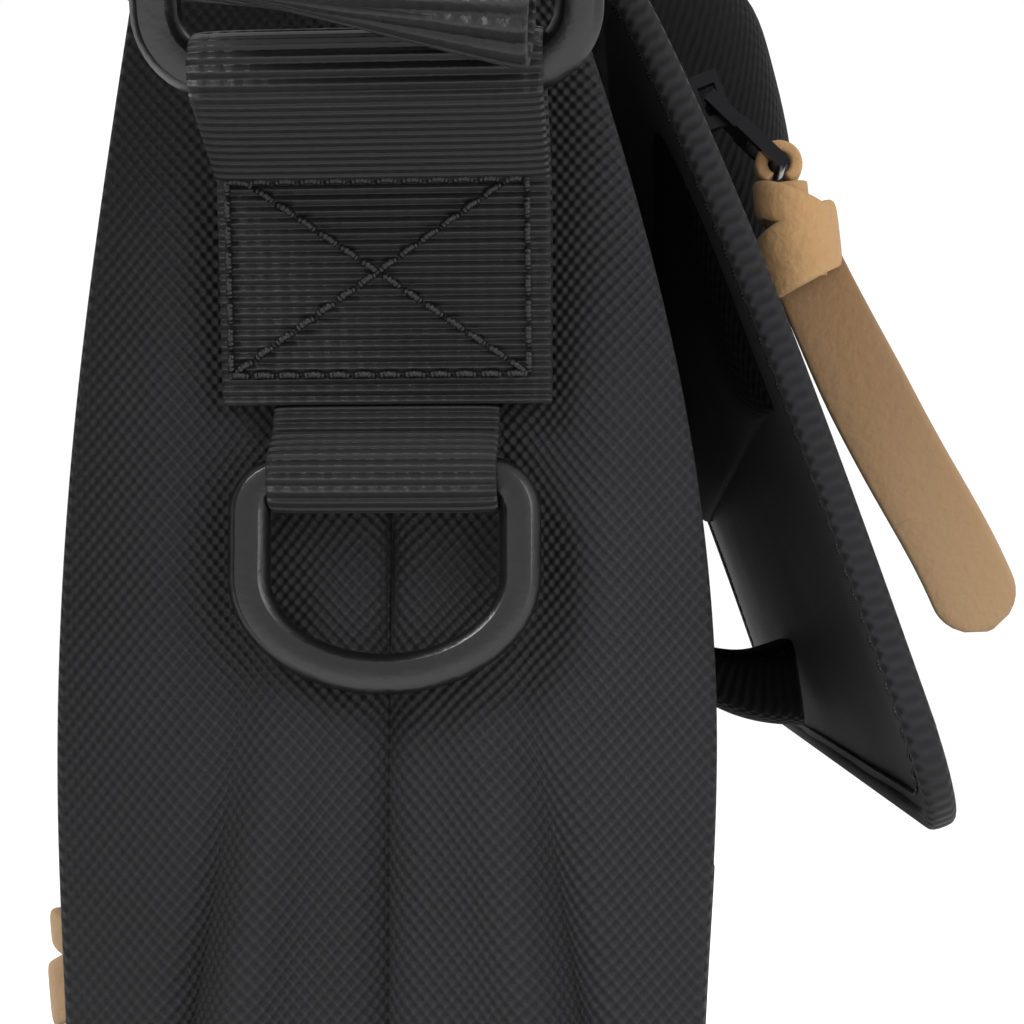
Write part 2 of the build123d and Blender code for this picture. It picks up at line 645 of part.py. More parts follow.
tail_top = (end_y - TAIL_OUT, end_z - TAIL_DROP)
tail_plane = Plane(
    origin=(FLAP_ZIP_X, tail_top[0], tail_top[1]),
    x_dir=(0, -cos(radians(TAIL_LEAN)), sin(radians(TAIL_LEAN))),
    z_dir=(-1, 0, 0),
)
with BuildPart() as flap_tail:
    with BuildSketch(tail_plane):
        draw_tail(TAIL_LENGTH, LEATHER_WIDTH)
    extrude(amount=LEATHER / 2, both=True)
    add(flap_knot.part, mode=Mode.SUBTRACT)
    keep = flap_tail.solids().sort_by(Axis.Z)[0]
save(Part(keep.wrapped), "flap_tail")

# ================================================================ rear zip slider and its pull
REAR_SLIDER_X = -REAR_ZIP_HALF + REAR_SLIDER_IN
REAR_FACE = BACK_BELLY + ZIP_TAPE + GAP
REAR_TOP = BACK_BELLY + ZIP_TAPE + COIL + GAP + SLIDER_PLATE
REAR_BAR = REAR_TOP + BRIDGE_RISE
with BuildPart() as rear_slider:
    with BuildSketch(Plane.YZ.offset(REAR_SLIDER_X)):
        height = REAR_TOP - REAR_FACE
        with Locations((REAR_FACE + height / 2, REAR_ZIP_HEIGHT)):
            Rectangle(height, SLIDER_WIDTH)
        with Locations((REAR_FACE + (height - SLIDER_PLATE) / 2, REAR_ZIP_HEIGHT)):
            Rectangle(height - SLIDER_PLATE, COIL_WIDTH + 2 * GAP, mode=Mode.SUBTRACT)
    extrude(amount=SLIDER_LENGTH / 2, both=True)
    for way in (-1, 1):
        post_x = REAR_SLIDER_X + way * BRIDGE_LENGTH / 2
        with Locations((post_x, REAR_TOP + BRIDGE_RISE / 2, REAR_ZIP_HEIGHT)):
            Box(2 * BRIDGE_BAR, BRIDGE_RISE + 0.6, 2 * BRIDGE_BAR)
    with BuildSketch(Plane.YZ.offset(REAR_SLIDER_X)):
        with Locations((REAR_BAR, REAR_ZIP_HEIGHT)):
            Circle(BRIDGE_BAR)
    extrude(amount=BRIDGE_LENGTH / 2, both=True)
save(rear_slider.part, "rear_slider")

rear_end_z = REAR_ZIP_HEIGHT - PULLER_LENGTH
with BuildPart() as rear_puller:
    with BuildSketch(Plane((REAR_SLIDER_X, REAR_BAR, REAR_ZIP_HEIGHT), (1, 0, 0), (0, -1, 0))):
        draw_puller_frame(2.2)
    extrude(amount=PULLER / 2, both=True)
    with BuildSketch(Plane.YZ.offset(REAR_SLIDER_X)):
        with Locations((REAR_BAR, REAR_ZIP_HEIGHT)):
            Circle(BRIDGE_BAR + GAP + 1.4)
            Circle(BRIDGE_BAR + GAP, mode=Mode.SUBTRACT)
    extrude(amount=1.6, both=True)
    with BuildSketch(Plane.YZ.offset(REAR_SLIDER_X)):
        with Locations((REAR_BAR, rear_end_z)):
            Circle(END_BAR)
    extrude(amount=PULLER_WIDTH / 2, both=True)
save(rear_puller.part, "rear_puller")

with BuildPart() as rear_knot:
    with BuildSketch(Plane.YZ.offset(REAR_SLIDER_X)):
        with BuildSketch(mode=Mode.ADD):
            with Locations((REAR_BAR, rear_end_z)):
                Circle(LOOP_RADIUS + LEATHER)
            with Locations((REAR_BAR, rear_end_z - 3.4)):
                Circle(1.6)
            make_hull()
        with Locations((REAR_BAR, rear_end_z)):
            Circle(LOOP_RADIUS, mode=Mode.SUBTRACT)
    extrude(amount=LOOP_WIDTH / 2, both=True)
    with BuildSketch(Plane.YZ.offset(REAR_SLIDER_X)):
        with Locations((REAR_BAR, rear_end_z - KNOT_DROP)):
            RectangleRounded(5.6, KNOT[2], 2)
    extrude(amount=KNOT[1] / 2, both=True)
save(rear_knot.part, "rear_knot")

with BuildPart() as rear_tail:
    with BuildSketch(Plane((REAR_SLIDER_X, REAR_BAR, rear_end_z - TAIL_DROP), (1, 0, 0), (0, -1, 0))):
        draw_tail(TAIL_LENGTH, LEATHER_WIDTH)
    extrude(amount=LEATHER / 2, both=True)
    add(rear_knot.part, mode=Mode.SUBTRACT)
    rear_keep = rear_tail.solids().sort_by(Axis.Z)[0]
save(Part(rear_keep.wrapped), "rear_tail")

# ================================================================ shoulder strap
# The strap's middle line and the way its width points, for the left half, from the ring to the
# middle of the run behind the bag. Its faces turn as the webbing twists.
LEG_X = END_WALL + LEG_FACE
LOOP_LOW = UPPER_BAR_Z - 6.8
LOOP_HIGH = UPPER_BAR_Z + 14.0
RUN_Y = 88.0
RUN_Z = RUN_LIFT + WEB / 2
BEND = 70.0
BEND_X = LEG_X - 4 - BEND
LEG_HIGH = (LEG_X, 66.0, BAG_HEIGHT + 18.0)
LEG_LOW = (LEG_X, 79.0, 158.0)
STRAP_ROUTE = [
    ((UPPER_BAR_X, 0.0, LOOP_HIGH + 2), (0.0, 1.0, 0.0)),
    ((UPPER_BAR_X, 2.5, BAG_HEIGHT + 34.0), (0.25, 0.97, 0.0)),
    ((UPPER_BAR_X - 1, 12.0, BAG_HEIGHT + 47.0), (0.6, 0.75, 0.0)),
    ((LEG_X + 1, 28.0, BAG_HEIGHT + 53.0), (0.92, 0.38, 0.0)),
    ((LEG_X, 45.0, BAG_HEIGHT + 49.0), (1.0, 0.0, 0.0)),
    ((LEG_X, 58.0, BAG_HEIGHT + 37.0), (1.0, 0.0, 0.0)),
    (LEG_HIGH, (1.0, 0.0, 0.0)),
    (LEG_LOW, (1.0, 0.0, 0.0)),
    ((LEG_X, 83.5, 122.0), (0.8, 0.6, 0.0)),
    ((LEG_X - 2, 86.5, 95.0), (0.3, 0.95, 0.0)),
    ((LEG_X - 4, RUN_Y, RUN_Z + BEND), (0.0, 1.0, 0.0)),
]
for turn in (22, 45, 68, 90):
    bend_x = BEND_X + BEND * cos(radians(turn))
    bend_z = RUN_Z + BEND * (1 - sin(radians(turn)))
    STRAP_ROUTE.append(((bend_x, RUN_Y, bend_z), (0.0, 1.0, 0.0)))


def strap_plane(route, index, way):
    """The plane across the strap at one point of its route: x is its width, z runs along it."""
    before = Vector(*route[max(index - 1, 0)][0])
    after = Vector(*route[min(index + 1, len(route) - 1)][0])
    along = after - before
    if index == 0:
        along = Vector(0, 0, 1)
    if index == len(route) - 1:
        along = Vector(-1, 0, 0)
    along = along.normalized()
    width = Vector(*route[index][1])
    width = (width - along * width.dot(along)).normalized()
    place = route[index][0]
    return Plane(
        origin=(way * place[0], place[1], place[2]),
        x_dir=(way * width.X, width.Y, width.Z),
        z_dir=(way * along.X, along.Y, along.Z),
    )


strap_length = 0.0
for (start, _), (stop, _) in zip(STRAP_ROUTE, STRAP_ROUTE[1:]):
    strap_length += (Vector(*stop) - Vector(*start)).length
print("strap, ring to ring:", round(2 * (strap_length + BEND_X)), "mm")

strap_pieces = []
for way in SIDES.values():
    with BuildPart() as strap_ribbon:
        for index in range(len(STRAP_ROUTE)):
            with BuildSketch(strap_plane(STRAP_ROUTE, index, way)):
                Rectangle(WEB_WIDTH, WEB)
        loft(ruled=True)
    # The end loop hangs round the ring's upper bar.
    with BuildPart() as end_loop:
        slack = RING_BAR + RING_PLAY
        with BuildSketch(Plane.XZ):
            with BuildSketch(mode=Mode.ADD):
                with Locations((way * UPPER_BAR_X, LOOP_LOW), (way * UPPER_BAR_X, UPPER_BAR_Z)):
                    Circle(slack + WEB)
                with Locations((way * UPPER_BAR_X, LOOP_HIGH + 1)):
                    Rectangle(2 * WEB, 2)
                make_hull()
            with BuildSketch(mode=Mode.SUBTRACT):
                with Locations((way * UPPER_BAR_X, LOOP_LOW), (way * UPPER_BAR_X, UPPER_BAR_Z)):
                    Circle(slack)
                with Locations((way * UPPER_BAR_X, LOOP_HIGH - 5)):
                    Circle(1.2)
                make_hull()
        extrude(amount=WEB_WIDTH / 2, both=True)
    strap_pieces += [strap_ribbon.part, end_loop.part]

with BuildPart() as shoulder_strap:
    with BuildSketch(Plane.YZ):
        with Locations((RUN_Y, RUN_Z)):
            Rectangle(WEB_WIDTH, WEB)
    extrude(amount=BEND_X, both=True)
    for piece in strap_pieces:
        add(piece)
save(shoulder_strap.part, "shoulder_strap")

# ================================================================ adjuster on the left leg
leg_run = Vector(*LEG_LOW) - Vector(*LEG_HIGH)
leg_middle = (Vector(*LEG_LOW) + Vector(*LEG_HIGH)) * 0.5
leg_slope = leg_run.normalized()
adjuster_plane = Plane(
    origin=(-leg_middle.X, leg_middle.Y, leg_middle.Z),
    x_dir=(1, 0, 0),
    z_dir=(0, leg_slope.Y, leg_slope.Z),
)
# Side rails beside the webbing; two bars in front of it and one behind.
rail_x = WEB_WIDTH / 2 + GAP + ADJUSTER_RAIL / 2
bar_y = WEB / 2 + GAP + ADJUSTER_BAR / 2
rail_height = 2 * bar_y + ADJUSTER_BAR
with BuildPart() as strap_adjuster:
    with BuildSketch(adjuster_plane):
        for way in (-1, 1):
            with Locations((way * rail_x, 0)):
                RectangleRounded(ADJUSTER_RAIL, rail_height, 1.5)
    extrude(amount=ADJUSTER_LENGTH / 2, both=True)
    for along, out in ((-1, 1), (0, -1), (1, 1)):
        reach = along * (ADJUSTER_LENGTH / 2 - ADJUSTER_RAIL / 2)
        with BuildSketch(adjuster_plane.offset(reach)):
            with Locations((0, out * bar_y)):
                Rectangle(2 * rail_x, ADJUSTER_BAR)
        extrude(amount=ADJUSTER_RAIL / 2, both=True)
save(strap_adjuster.part, "strap_adjuster")

# ================================================================ shoulder pad on the run
pad_low = RUN_LIFT + WEB + GAP
with BuildPart() as shoulder_pad:
    with BuildSketch(Plane.XY.offset(pad_low)):
        with Locations((0, RUN_Y)):
            RectangleRounded(PAD_LENGTH, PAD_WIDTH, 14)
    extrude(amount=PAD)
    fillet(shoulder_pad.faces().sort_by(Axis.Z)[-1].edges(), 2.5)
save(shoulder_pad.part, "shoulder_pad")

with BuildPart() as pad_keepers:
    for way in (-1, 1):
        with BuildSketch(Plane.YZ.offset(way * PAD_LENGTH * 0.3)):
            outer = WEB_WIDTH + 2 * (GAP + KEEPER)
            with Locations((RUN_Y, pad_low / 2)):
                Rectangle(outer, pad_low)
            with Locations((RUN_Y, (KEEPER + pad_low) / 2)):
                Rectangle(WEB_WIDTH + 2 * GAP, pad_low - KEEPER, mode=Mode.SUBTRACT)
        extrude(amount=KEEPER_WIDTH / 2, both=True)
save(pad_keepers.part, "pad_keepers")
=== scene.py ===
"""Looks for a flap-over messenger bag: cloth, webbing, rings, zips and leather. Lengths are millimetres."""
import json
import math

import bpy
import numpy as np
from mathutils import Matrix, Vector


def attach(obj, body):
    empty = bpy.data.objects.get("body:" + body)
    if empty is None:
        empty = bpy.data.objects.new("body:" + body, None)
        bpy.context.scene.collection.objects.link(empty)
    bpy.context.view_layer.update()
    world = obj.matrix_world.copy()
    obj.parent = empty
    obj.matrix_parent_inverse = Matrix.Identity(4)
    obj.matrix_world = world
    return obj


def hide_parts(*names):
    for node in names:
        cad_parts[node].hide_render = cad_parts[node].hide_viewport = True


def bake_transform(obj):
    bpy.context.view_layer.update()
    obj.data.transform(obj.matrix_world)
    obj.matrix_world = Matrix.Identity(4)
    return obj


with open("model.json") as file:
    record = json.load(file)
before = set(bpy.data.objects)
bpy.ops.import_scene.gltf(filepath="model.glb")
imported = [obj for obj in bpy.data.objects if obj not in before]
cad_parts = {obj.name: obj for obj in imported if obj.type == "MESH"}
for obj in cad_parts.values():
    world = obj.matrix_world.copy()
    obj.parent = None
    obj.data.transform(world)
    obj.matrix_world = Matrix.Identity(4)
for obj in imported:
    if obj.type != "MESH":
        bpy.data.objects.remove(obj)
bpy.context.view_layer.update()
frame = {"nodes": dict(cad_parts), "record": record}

# ---------------------------------------------------------------- sizes, as in the CAD
END = 152.5
HEIGHT = 228.0
AXIS_Y, AXIS_Z = -25.7, 232.8
HINGE_Y = 34.5
SLOPE = math.radians(21)
DROP = 110.0
FLAP_HALF = 149.0
CORNER = 16.0
FLAP_BOW = 2.0
FRONT = [(-31, 0), (-33.2, 50), (-35.4, 109), (-37, 142), (-33.5, 180), (-21, 228)]
BACK = [(32, 0), (34.5, 50), (36.8, 109), (38, 131), (36.5, 180), (30.5, 228)]
D_BAR = (156.7, 171.3)
LOWER_BAR = (171.0, 214.0)
UPPER_BAR = (177.0, 233.0)
ZIP_X = -138.5
REAR_X = -120.0
WEB = 1.6
WEB_WIDTH = 38
LOOP_WIDTH = 26
HOOK_WIDTH = 50
TIP = 5.0
RIB_PITCH = 1.27
YARN_WIDE, YARN_TALL = 0.72, 0.85


# ---------------------------------------------------------------- shapes
def spline(points, count):
    """count points on the natural cubic through the given ones, by chord length.

    Its second derivatives m solve the usual tridiagonal system a m = b.
    """
    p = np.array(points, float)
    t = np.concatenate([[0], np.cumsum(np.linalg.norm(np.diff(p, axis=0), axis=1))])
    h = np.diff(t)[:, None]
    n = len(p)
    a, b = np.eye(n), np.zeros_like(p)
    for i in range(1, n - 1):
        a[i, i - 1:i + 2] = h[i - 1, 0], 2 * (h[i - 1, 0] + h[i, 0]), h[i, 0]
        b[i] = 6 * ((p[i + 1] - p[i]) / h[i] - (p[i] - p[i - 1]) / h[i - 1])
    m = np.linalg.solve(a, b)
    s = np.linspace(0, t[-1], count)
    k = np.clip(np.searchsorted(t, s, "right") - 1, 0, n - 2)
    u, v, w = (s - t[k])[:, None], (t[k + 1] - s)[:, None], h[k]
    return (m[k] * v**3 + m[k + 1] * u**3) / (6 * w) + (p[k] / w - m[k] * w / 6) * v + (
        p[k + 1] / w - m[k + 1] * w / 6) * u


FRONT_CURVE, BACK_CURVE = spline(FRONT, 200), spline(BACK, 200)


def front_y(z):
    """The front wall's Y at height z, straight between the curve's points."""
    return np.interp(z, FRONT_CURVE[:, 1], FRONT_CURVE[:, 0])


def back_y(z):
    """The back wall's Y at height z, found the same way."""
    return np.interp(z, BACK_CURVE[:, 1], BACK_CURVE[:, 0])


def steps(low, high, count, edge=1.0):
    """Positions from low to high, with extra ones close to both ends for a rounded edge."""
    near = edge * np.array([0, 0.1, 0.35, 0.7, 1.0])
    inner = np.linspace(low + edge, high - edge, count)
    return np.unique(np.concatenate([low + near, inner, high - near]))


def smooth(x, low, high):
    """0 below low, 1 above high, 3t^2 - 2t^3 between."""
    t = np.clip((x - low) / (high - low), 0, 1)
    return t * t * (3 - 2 * t)


def lengths(points, axis):
    """Distance along a grid's lines from their start."""
    step = np.linalg.norm(np.diff(points, axis=axis), axis=-1)
    return np.insert(np.cumsum(step, axis=axis), 0, 0, axis=axis)


def slab(points, thick):
    """A sheet of cloth. S is its middle surface, N its unit normal, d the distance to its nearest border.

    Both faces are S +- N h, where h = thick/2 sqrt(1 - (1 - min(1, 2d/thick))^2), so borders are half round.
    """
    p = np.array(points, float)
    normal = np.cross(np.gradient(p, axis=0), np.gradient(p, axis=1))
    normal /= np.maximum(np.linalg.norm(normal, axis=-1, keepdims=True), 1e-9)
    a, b = lengths(p, 0), lengths(p, 1)
    d = np.minimum(np.minimum(a, a[-1:] - a), np.minimum(b, b[:, -1:] - b))
    h = thick / 2 * np.sqrt(1 - (1 - np.clip(2 * d / thick, 0, 1)) ** 2)
    top, under = p + normal * h[..., None], p - normal * h[..., None]
    uv = np.stack([a, b], -1)
    ring = np.concatenate([top, under[:, -2:0:-1]], 1)
    return ring, np.concatenate([uv, uv[:, -2:0:-1]], 1), False


def profile(power, count=24):
    """A superellipse |x|^p + |y|^p = 1, from a circle at 2 to nearly a rectangle at 8."""
    t = np.linspace(0, 2 * np.pi, count, endpoint=False) + np.pi / count
    c, s = np.cos(t), np.sin(t)
    return np.stack([np.sign(c) * abs(c) ** (2 / power), np.sign(s) * abs(s) ** (2 / power)], -1)


# A rectangle with broad chamfers, each corner kept crisp by a close pair of points.
BEVELLED = np.array([(1, .45), (.99, .5), (.6, .97), (.55, 1), (-.55, 1), (-.6, .97), (-.99, .5), (-1, .45),
                     (-1, -.45), (-.99, -.5), (-.6, -.97), (-.55, -1), (.55, -1), (.6, -.97), (.99, -.5),
                         (1, -.45)])


def sweep(path, across, width, thick, shape=None, closed=False):
    """A profile (x, y) carried along a path P with width direction A and normal B = T x A:
    each ring is P + A x width/2 + B y thick/2. Open ends close on their middle point."""
    p = np.array(path, float)
    shape = profile(6) if shape is None else shape
    if closed:
        t = np.roll(p, -1, 0) - np.roll(p, 1, 0)
    else:
        t = np.gradient(p, axis=0)
    t /= np.maximum(np.linalg.norm(t, axis=1, keepdims=True), 1e-9)
    a = np.broadcast_to(np.array(across, float), p.shape)
    a = a - t * np.sum(a * t, 1, keepdims=True)
    a /= np.maximum(np.linalg.norm(a, axis=1, keepdims=True), 1e-9)
    b = np.cross(t, a)
    w = np.broadcast_to(np.array(width, float), len(p))[:, None, None] / 2
    h = np.broadcast_to(np.array(thick, float), len(p))[:, None, None] / 2
    ring = p[:, None] + a[:, None] * shape[None, :, :1] * w + b[:, None] * shape[None, :, 1:] * h
    along = np.concatenate([[0], np.cumsum(np.linalg.norm(np.diff(p, axis=0), axis=1))])
    uv = np.stack(np.broadcast_arrays(shape[None, :, 0] * w[..., 0], along[:, None]), -1)
    if not closed:
        ring = np.concatenate([np.repeat(p[:1, None], len(shape), 1), ring,
            np.repeat(p[-1:, None], len(shape), 1)])
        uv = np.concatenate([uv[:1], uv, uv[-1:]])
    return ring, uv, closed


def piece(name, patches, material, body, nodes=()):
    """Build one object from grids that close round their second direction.

    Each is turned to face outwards, by the sign of its volume, the sum of a.(b x c)/6. The map "metres"
    holds each corner's distances along the surface.
    """
    corners, faces, maps, base = [], [], [], 0
    for ring, uv, closed in patches:
        n, m = ring.shape[:2]
        i, j = np.meshgrid(np.arange(n if closed else n - 1), np.arange(m), indexing="ij")
        quad = np.stack([i * m + j, (i + 1) % n * m + j, (i + 1) % n * m + (j + 1) % m,
            i * m + (j + 1) % m], -1)
        quad = quad.reshape(-1, 4)
        flat = ring.reshape(-1, 3)
        a, b, c, d = (flat[quad[:, k]] for k in range(4))
        if np.sum(a * np.cross(b, c)) + np.sum(a * np.cross(c, d)) < 0:
            quad = quad[:, ::-1]
        maps.append(uv.reshape(-1, 2)[quad].reshape(-1, 2))
        corners.append(flat)
        faces.append(quad + base)
        base += len(flat)
    points, quads = np.concatenate(corners) / 1000, np.concatenate(faces)
    mesh = bpy.data.meshes.new(name)
    mesh.vertices.add(len(points))
    mesh.vertices.foreach_set("co", points.ravel())
    mesh.loops.add(quads.size)
    mesh.loops.foreach_set("vertex_index", quads.ravel().astype(np.int32))
    mesh.polygons.add(len(quads))
    mesh.polygons.foreach_set("loop_start", np.arange(0, quads.size, 4, dtype=np.int32))
    mesh.polygons.foreach_set("use_smooth", np.ones(len(quads), bool))
    mesh.update(calc_edges=True)
    layer = mesh.uv_layers.new(name="metres")
    layer.data.foreach_set("uv", (np.concatenate(maps) / 1000).ravel())
    mesh.materials.append(material)
    made = bpy.data.objects.new(name, mesh)
    bpy.context.scene.collection.objects.link(made)
    if body:
        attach(made, body)
    if nodes:
        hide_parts(*nodes)
    return made


# ---------------------------------------------------------------- materials
def linear(code):
    """An sRGB hex colour as linear RGBA."""
    values = [int(code[k:k + 2], 16) / 255 for k in (0, 2, 4)]
    return [v / 12.92 if v <= 0.04045 else ((v + 0.055) / 1.055) ** 2.4 for v in values] + [1.0]


def add(tree, kind, values=None, **settings):
    """Add one shader node. Each value is a constant, or another node's output that is linked."""
    made = tree.nodes.new("ShaderNode" + kind)
    for key, value in settings.items():
        setattr(made, key, value)
    for key, value in (values or {}).items():
        if isinstance(value, bpy.types.NodeSocket):
            tree.links.new(value, made.inputs[key])
        else:
            made.inputs[key].default_value = value
    return made


# How much each kind of surface mirrors; loose fibres scatter nearly all of it.
SHINE = {"weave": 0.14, "rib": 0.22, "coil": 0.3, "moulded": 0.36, "leather": 0.12}


def material(name, dark, light, rough, pattern, sizes=(1, 1), depth=0.2, sheen=0.0, metallic=0.0,
    grain=900.0,
             mapped=True):
    """A procedural material. pattern is weave, rib, coil, moulded or leather.

    sizes are its pitches and depth its relief, in millimetres. mapped reads the piece's own map;
    otherwise object coordinates are read.
    """
    made = bpy.data.materials.new(name)
    made.use_nodes = True
    tree = made.node_tree
    shader = tree.nodes["Principled BSDF"]
    place = add(tree, "TexCoord").outputs["Object"]
    if mapped:
        where = add(tree, "SeparateXYZ", {0: add(tree, "UVMap", uv_map="metres").outputs[0]})
        u, v = where.outputs[0], where.outputs[1]
    else:
        where = add(tree, "SeparateXYZ", {0: place})
        u = add(tree, "Math", {0: where.outputs[0], 1: where.outputs[1]}, operation="ADD").outputs[0]
        v = where.outputs[2]
    fine = add(tree, "TexNoise", {"Vector": place, "Scale": grain, "Detail": 3.0}).outputs[0]
    broad = add(tree, "TexNoise", {"Vector": place, "Scale": 35.0, "Detail": 4.0}).outputs[0]

    def wave(value, pitch):
        """sin(2 pi value / pitch), for a value in metres and a pitch in millimetres."""
        turned = add(tree, "Math", {0: value, 1: 2000 * math.pi / pitch}, operation="MULTIPLY").outputs[0]
        return add(tree, "Math", {0: turned}, operation="SINE").outputs[0]

    if pattern == "weave":
        height = add(tree, "Math", {0: wave(u, 2 * sizes[0]), 1: wave(v, 2 * sizes[1])},
            operation="MULTIPLY").outputs[0]
    elif pattern == "rib":
        small = add(tree, "Math", {0: wave(u, sizes[0]), 1: 0.12}, operation="MULTIPLY").outputs[0]
        height = add(tree, "Math", {0: wave(v, sizes[1]), 1: small}, operation="ADD").outputs[0]
    elif pattern == "coil":
        height = wave(u if sizes[0] > sizes[1] else v, max(sizes))
    else:
        height = add(tree, "Math", {0: fine, 1: broad}, operation="ADD").outputs[0]
    rough_height = add(tree, "Math", {0: fine, 1: 0.7, 2: height}, operation="MULTIPLY_ADD").outputs[0]
    # For weave, rib and coil, colour runs from dark in the pattern's low places to light on its high ones:
    # painted shade between the yarns and a painted highlight on them. For moulded and leather it follows
    # noise, a random mottle.
    relief_shade_and_mottle = add(tree, "MapRange", {"Value": height, "From Min": -1.0, "From Max": 1.4}).outputs[0]
    tone = add(tree, "Math", {0: relief_shade_and_mottle, 1: 0.65, 2: add(tree, "Math", {0: broad, 1: 0.4},
               operation="MULTIPLY").outputs[0]}, operation="MULTIPLY_ADD").outputs[0]
    colour = add(tree, "Mix", {"Factor": tone, "A": linear(dark), "B": linear(light)}, data_type="RGBA")
    base = colour.outputs["Result"]
    if pattern == "leather":
        # Paler towards the bottom and towards the strip's cut edges.
        low = add(tree, "MapRange", {"Value": add(tree, "SeparateXYZ", {0: place}).outputs[2],
                                     "From Min": 0.205, "From Max": 0.150}).outputs[0]
        edge = add(tree, "Math", {0: u}, operation="ABSOLUTE").outputs[0]
        cut = add(tree, "MapRange", {"Value": edge, "From Min": 0.0042, "From Max": 0.0052}).outputs[0]
        lift = add(tree, "Math", {0: low, 1: 0.9, 2: add(tree, "Math", {0: cut, 1: 0.35},
                   operation="MULTIPLY").outputs[0]}, operation="MULTIPLY_ADD", use_clamp=True).outputs[0]
        paler_low_and_at_edges = add(tree, "Mix", {"Factor": lift, "A": base, "B": linear("80694F")}, data_type="RGBA")
        base = paler_low_and_at_edges.outputs["Result"]
    bump = add(tree, "Bump", {"Height": rough_height, "Distance": depth / 1000, "Strength": 0.8}).outputs[0]
    roughness = add(tree, "MapRange", {"Value": broad, "To Min": rough - 0.08,
        "To Max": rough + 0.08}).outputs[0]
    tree.links.new(base, shader.inputs["Base Color"])
    tree.links.new(bump, shader.inputs["Normal"])
    tree.links.new(roughness, shader.inputs["Roughness"])
    shader.inputs["Metallic"].default_value = metallic
    shader.inputs["Specular IOR Level"].default_value = SHINE[pattern]
    shader.inputs["Sheen Weight"].default_value = sheen
    shader.inputs["Sheen Roughness"].default_value = 0.5
    return made


# Slot: dark and light colour, roughness, pattern, pitches, relief, sheen.
FINISHES = {
    # Plain-weave nylon: matt, with a square grain that catches light on each yarn.
    "canvas": ("020203", "232325", 0.66, "weave", (YARN_WIDE, YARN_TALL), 0.3, 0.015),
    # Thin nylon taffeta: smooth and dark, with almost no grain.
    "lining_cloth": ("050506", "131314", 0.6, "weave", (0.35, 0.35), 0.05, 0.02),
    # Ribbed nylon webbing: shiny cross ribs, with painted shade in the gaps between them.
    "webbing": ("010101", "212122", 0.45, "rib", (1.9, RIB_PITCH), 0.6, 0.015),
    # Woven polyester tape: dull and flat.
    "zip_tape": ("070708", "171719", 0.7, "weave", (0.5, 0.6), 0.08, 0.02),
    # Nylon coil: small shiny turns.
    "zip_coil": ("060607", "161618", 0.35, "coil", (1.5, 0.5), 0.35, 0.0),
    # Hook-and-loop tape: rough, with no highlight.
    "hook_loop": ("050506", "121214", 0.9, "weave", (0.9, 0.9), 0.4, 0.04),
    # The same cloth turned over an edge and pulled tighter, so its relief is lower.
    "binding": ("030304", "202022", 0.65, "weave", (YARN_WIDE, YARN_TALL), 0.22, 0.02),
    # Air mesh over foam: a coarse, matt grain.
    "pad_cloth": ("08080A", "1E1E20", 0.75, "weave", (1.2, 1.2), 0.3, 0.03),
    # Moulded acetal: satin, with long soft highlights.
    "ring_plastic": ("030303", "0B0B0C", 0.3, "moulded", (1, 1), 0.05, 0.0),
    # Black enamelled zinc: hard, small highlights.
    "zip_metal": ("060608", "121215", 0.24, "moulded", (1, 1), 0.015, 0.0),
    # Polyethylene board: even and waxy.
    "stiffener": ("1A1A1A", "262626", 0.5, "moulded", (1, 1), 0.05, 0.0),
    # Napped leather: dry and matt, mottled, paler at cut edges and low down.
    "tan_leather": ("463524", "684F36", 0.85, "leather", (1, 1), 0.16, 0.08),
}
LOOKS, PLAIN = {}, {}
for key, (dark, light, rough, pattern, sizes, depth, sheen) in FINISHES.items():
    metallic = 0.6 if key == "zip_metal" else 0.0
    LOOKS[key] = material(key, dark, light, rough, pattern, sizes, depth, sheen, metallic)
    PLAIN[key] = material(key + "_solid", dark, light, rough, pattern, sizes, depth, sheen, metallic,
        mapped=False)
THREAD = material("thread", "020202", "0C0C0D", 0.5, "coil", (0.1, 0.5), 0.06)  # bonded nylon thread
# The same nylon cloth, drawn tight over the pocket, so its weave is flatter; its darker colours are painted
# shade.
POCKET_SHADED_LOOK = material("pocket_canvas_painted_shade", "010101", "080809", 0.85, "weave", (YARN_WIDE, YARN_TALL), 0.2, 0.0)
# The same leather where it is wrapped into the knot; its paler colours are painted light.
WRAP_LIT_LOOK = material("wrapped_leather_painted_light", "6A5137", "93744F", 0.8, "leather", (1, 1), 0.2, 0.08)

for entry in frame["record"]["subparts"]:
    solid = frame["nodes"][entry["node"]]
    solid.data.materials.clear()
    solid.data.materials.append(PLAIN[entry["material_slot"]])


# ---------------------------------------------------------------- body cloth
def ripple(a, b, size):
    """Small uneven waves of the cloth: a sum of slanted sines."""
    return size * (0.5 * np.sin(a / 17 + b / 29) + 0.3 * np.sin(a / 9 - b / 13 + 1) + 0.2 *
        np.sin(b / 7 + a / 23))


def wall(curve, inwards, thick, low, high, half, count=60, puff=0.0):
    """A front or back wall: for X across and Z up, Y = curve(Z) + inwards + puff (1 - (X/half)^2)."""
    x, z = np.meshgrid(steps(-half, half, 70, thick / 2), steps(low, high, count, thick / 2), indexing="ij")
    y = curve(z) + inwards + puff * (1 - (x / half) ** 2) * smooth(z, low, low + 20) * smooth(-z, -high,
        20 - high)
    return slab(np.stack([x, y, z], -1), thick)


def level(y0, y1, z, half, thick):
    """A flat sheet at one height."""
    x, y = np.meshgrid(steps(-half, half, 50, thick / 2), steps(y0, y1, 16, thick / 2), indexing="ij")
    return slab(np.stack([x, y, z + 0 * x], -1), thick)


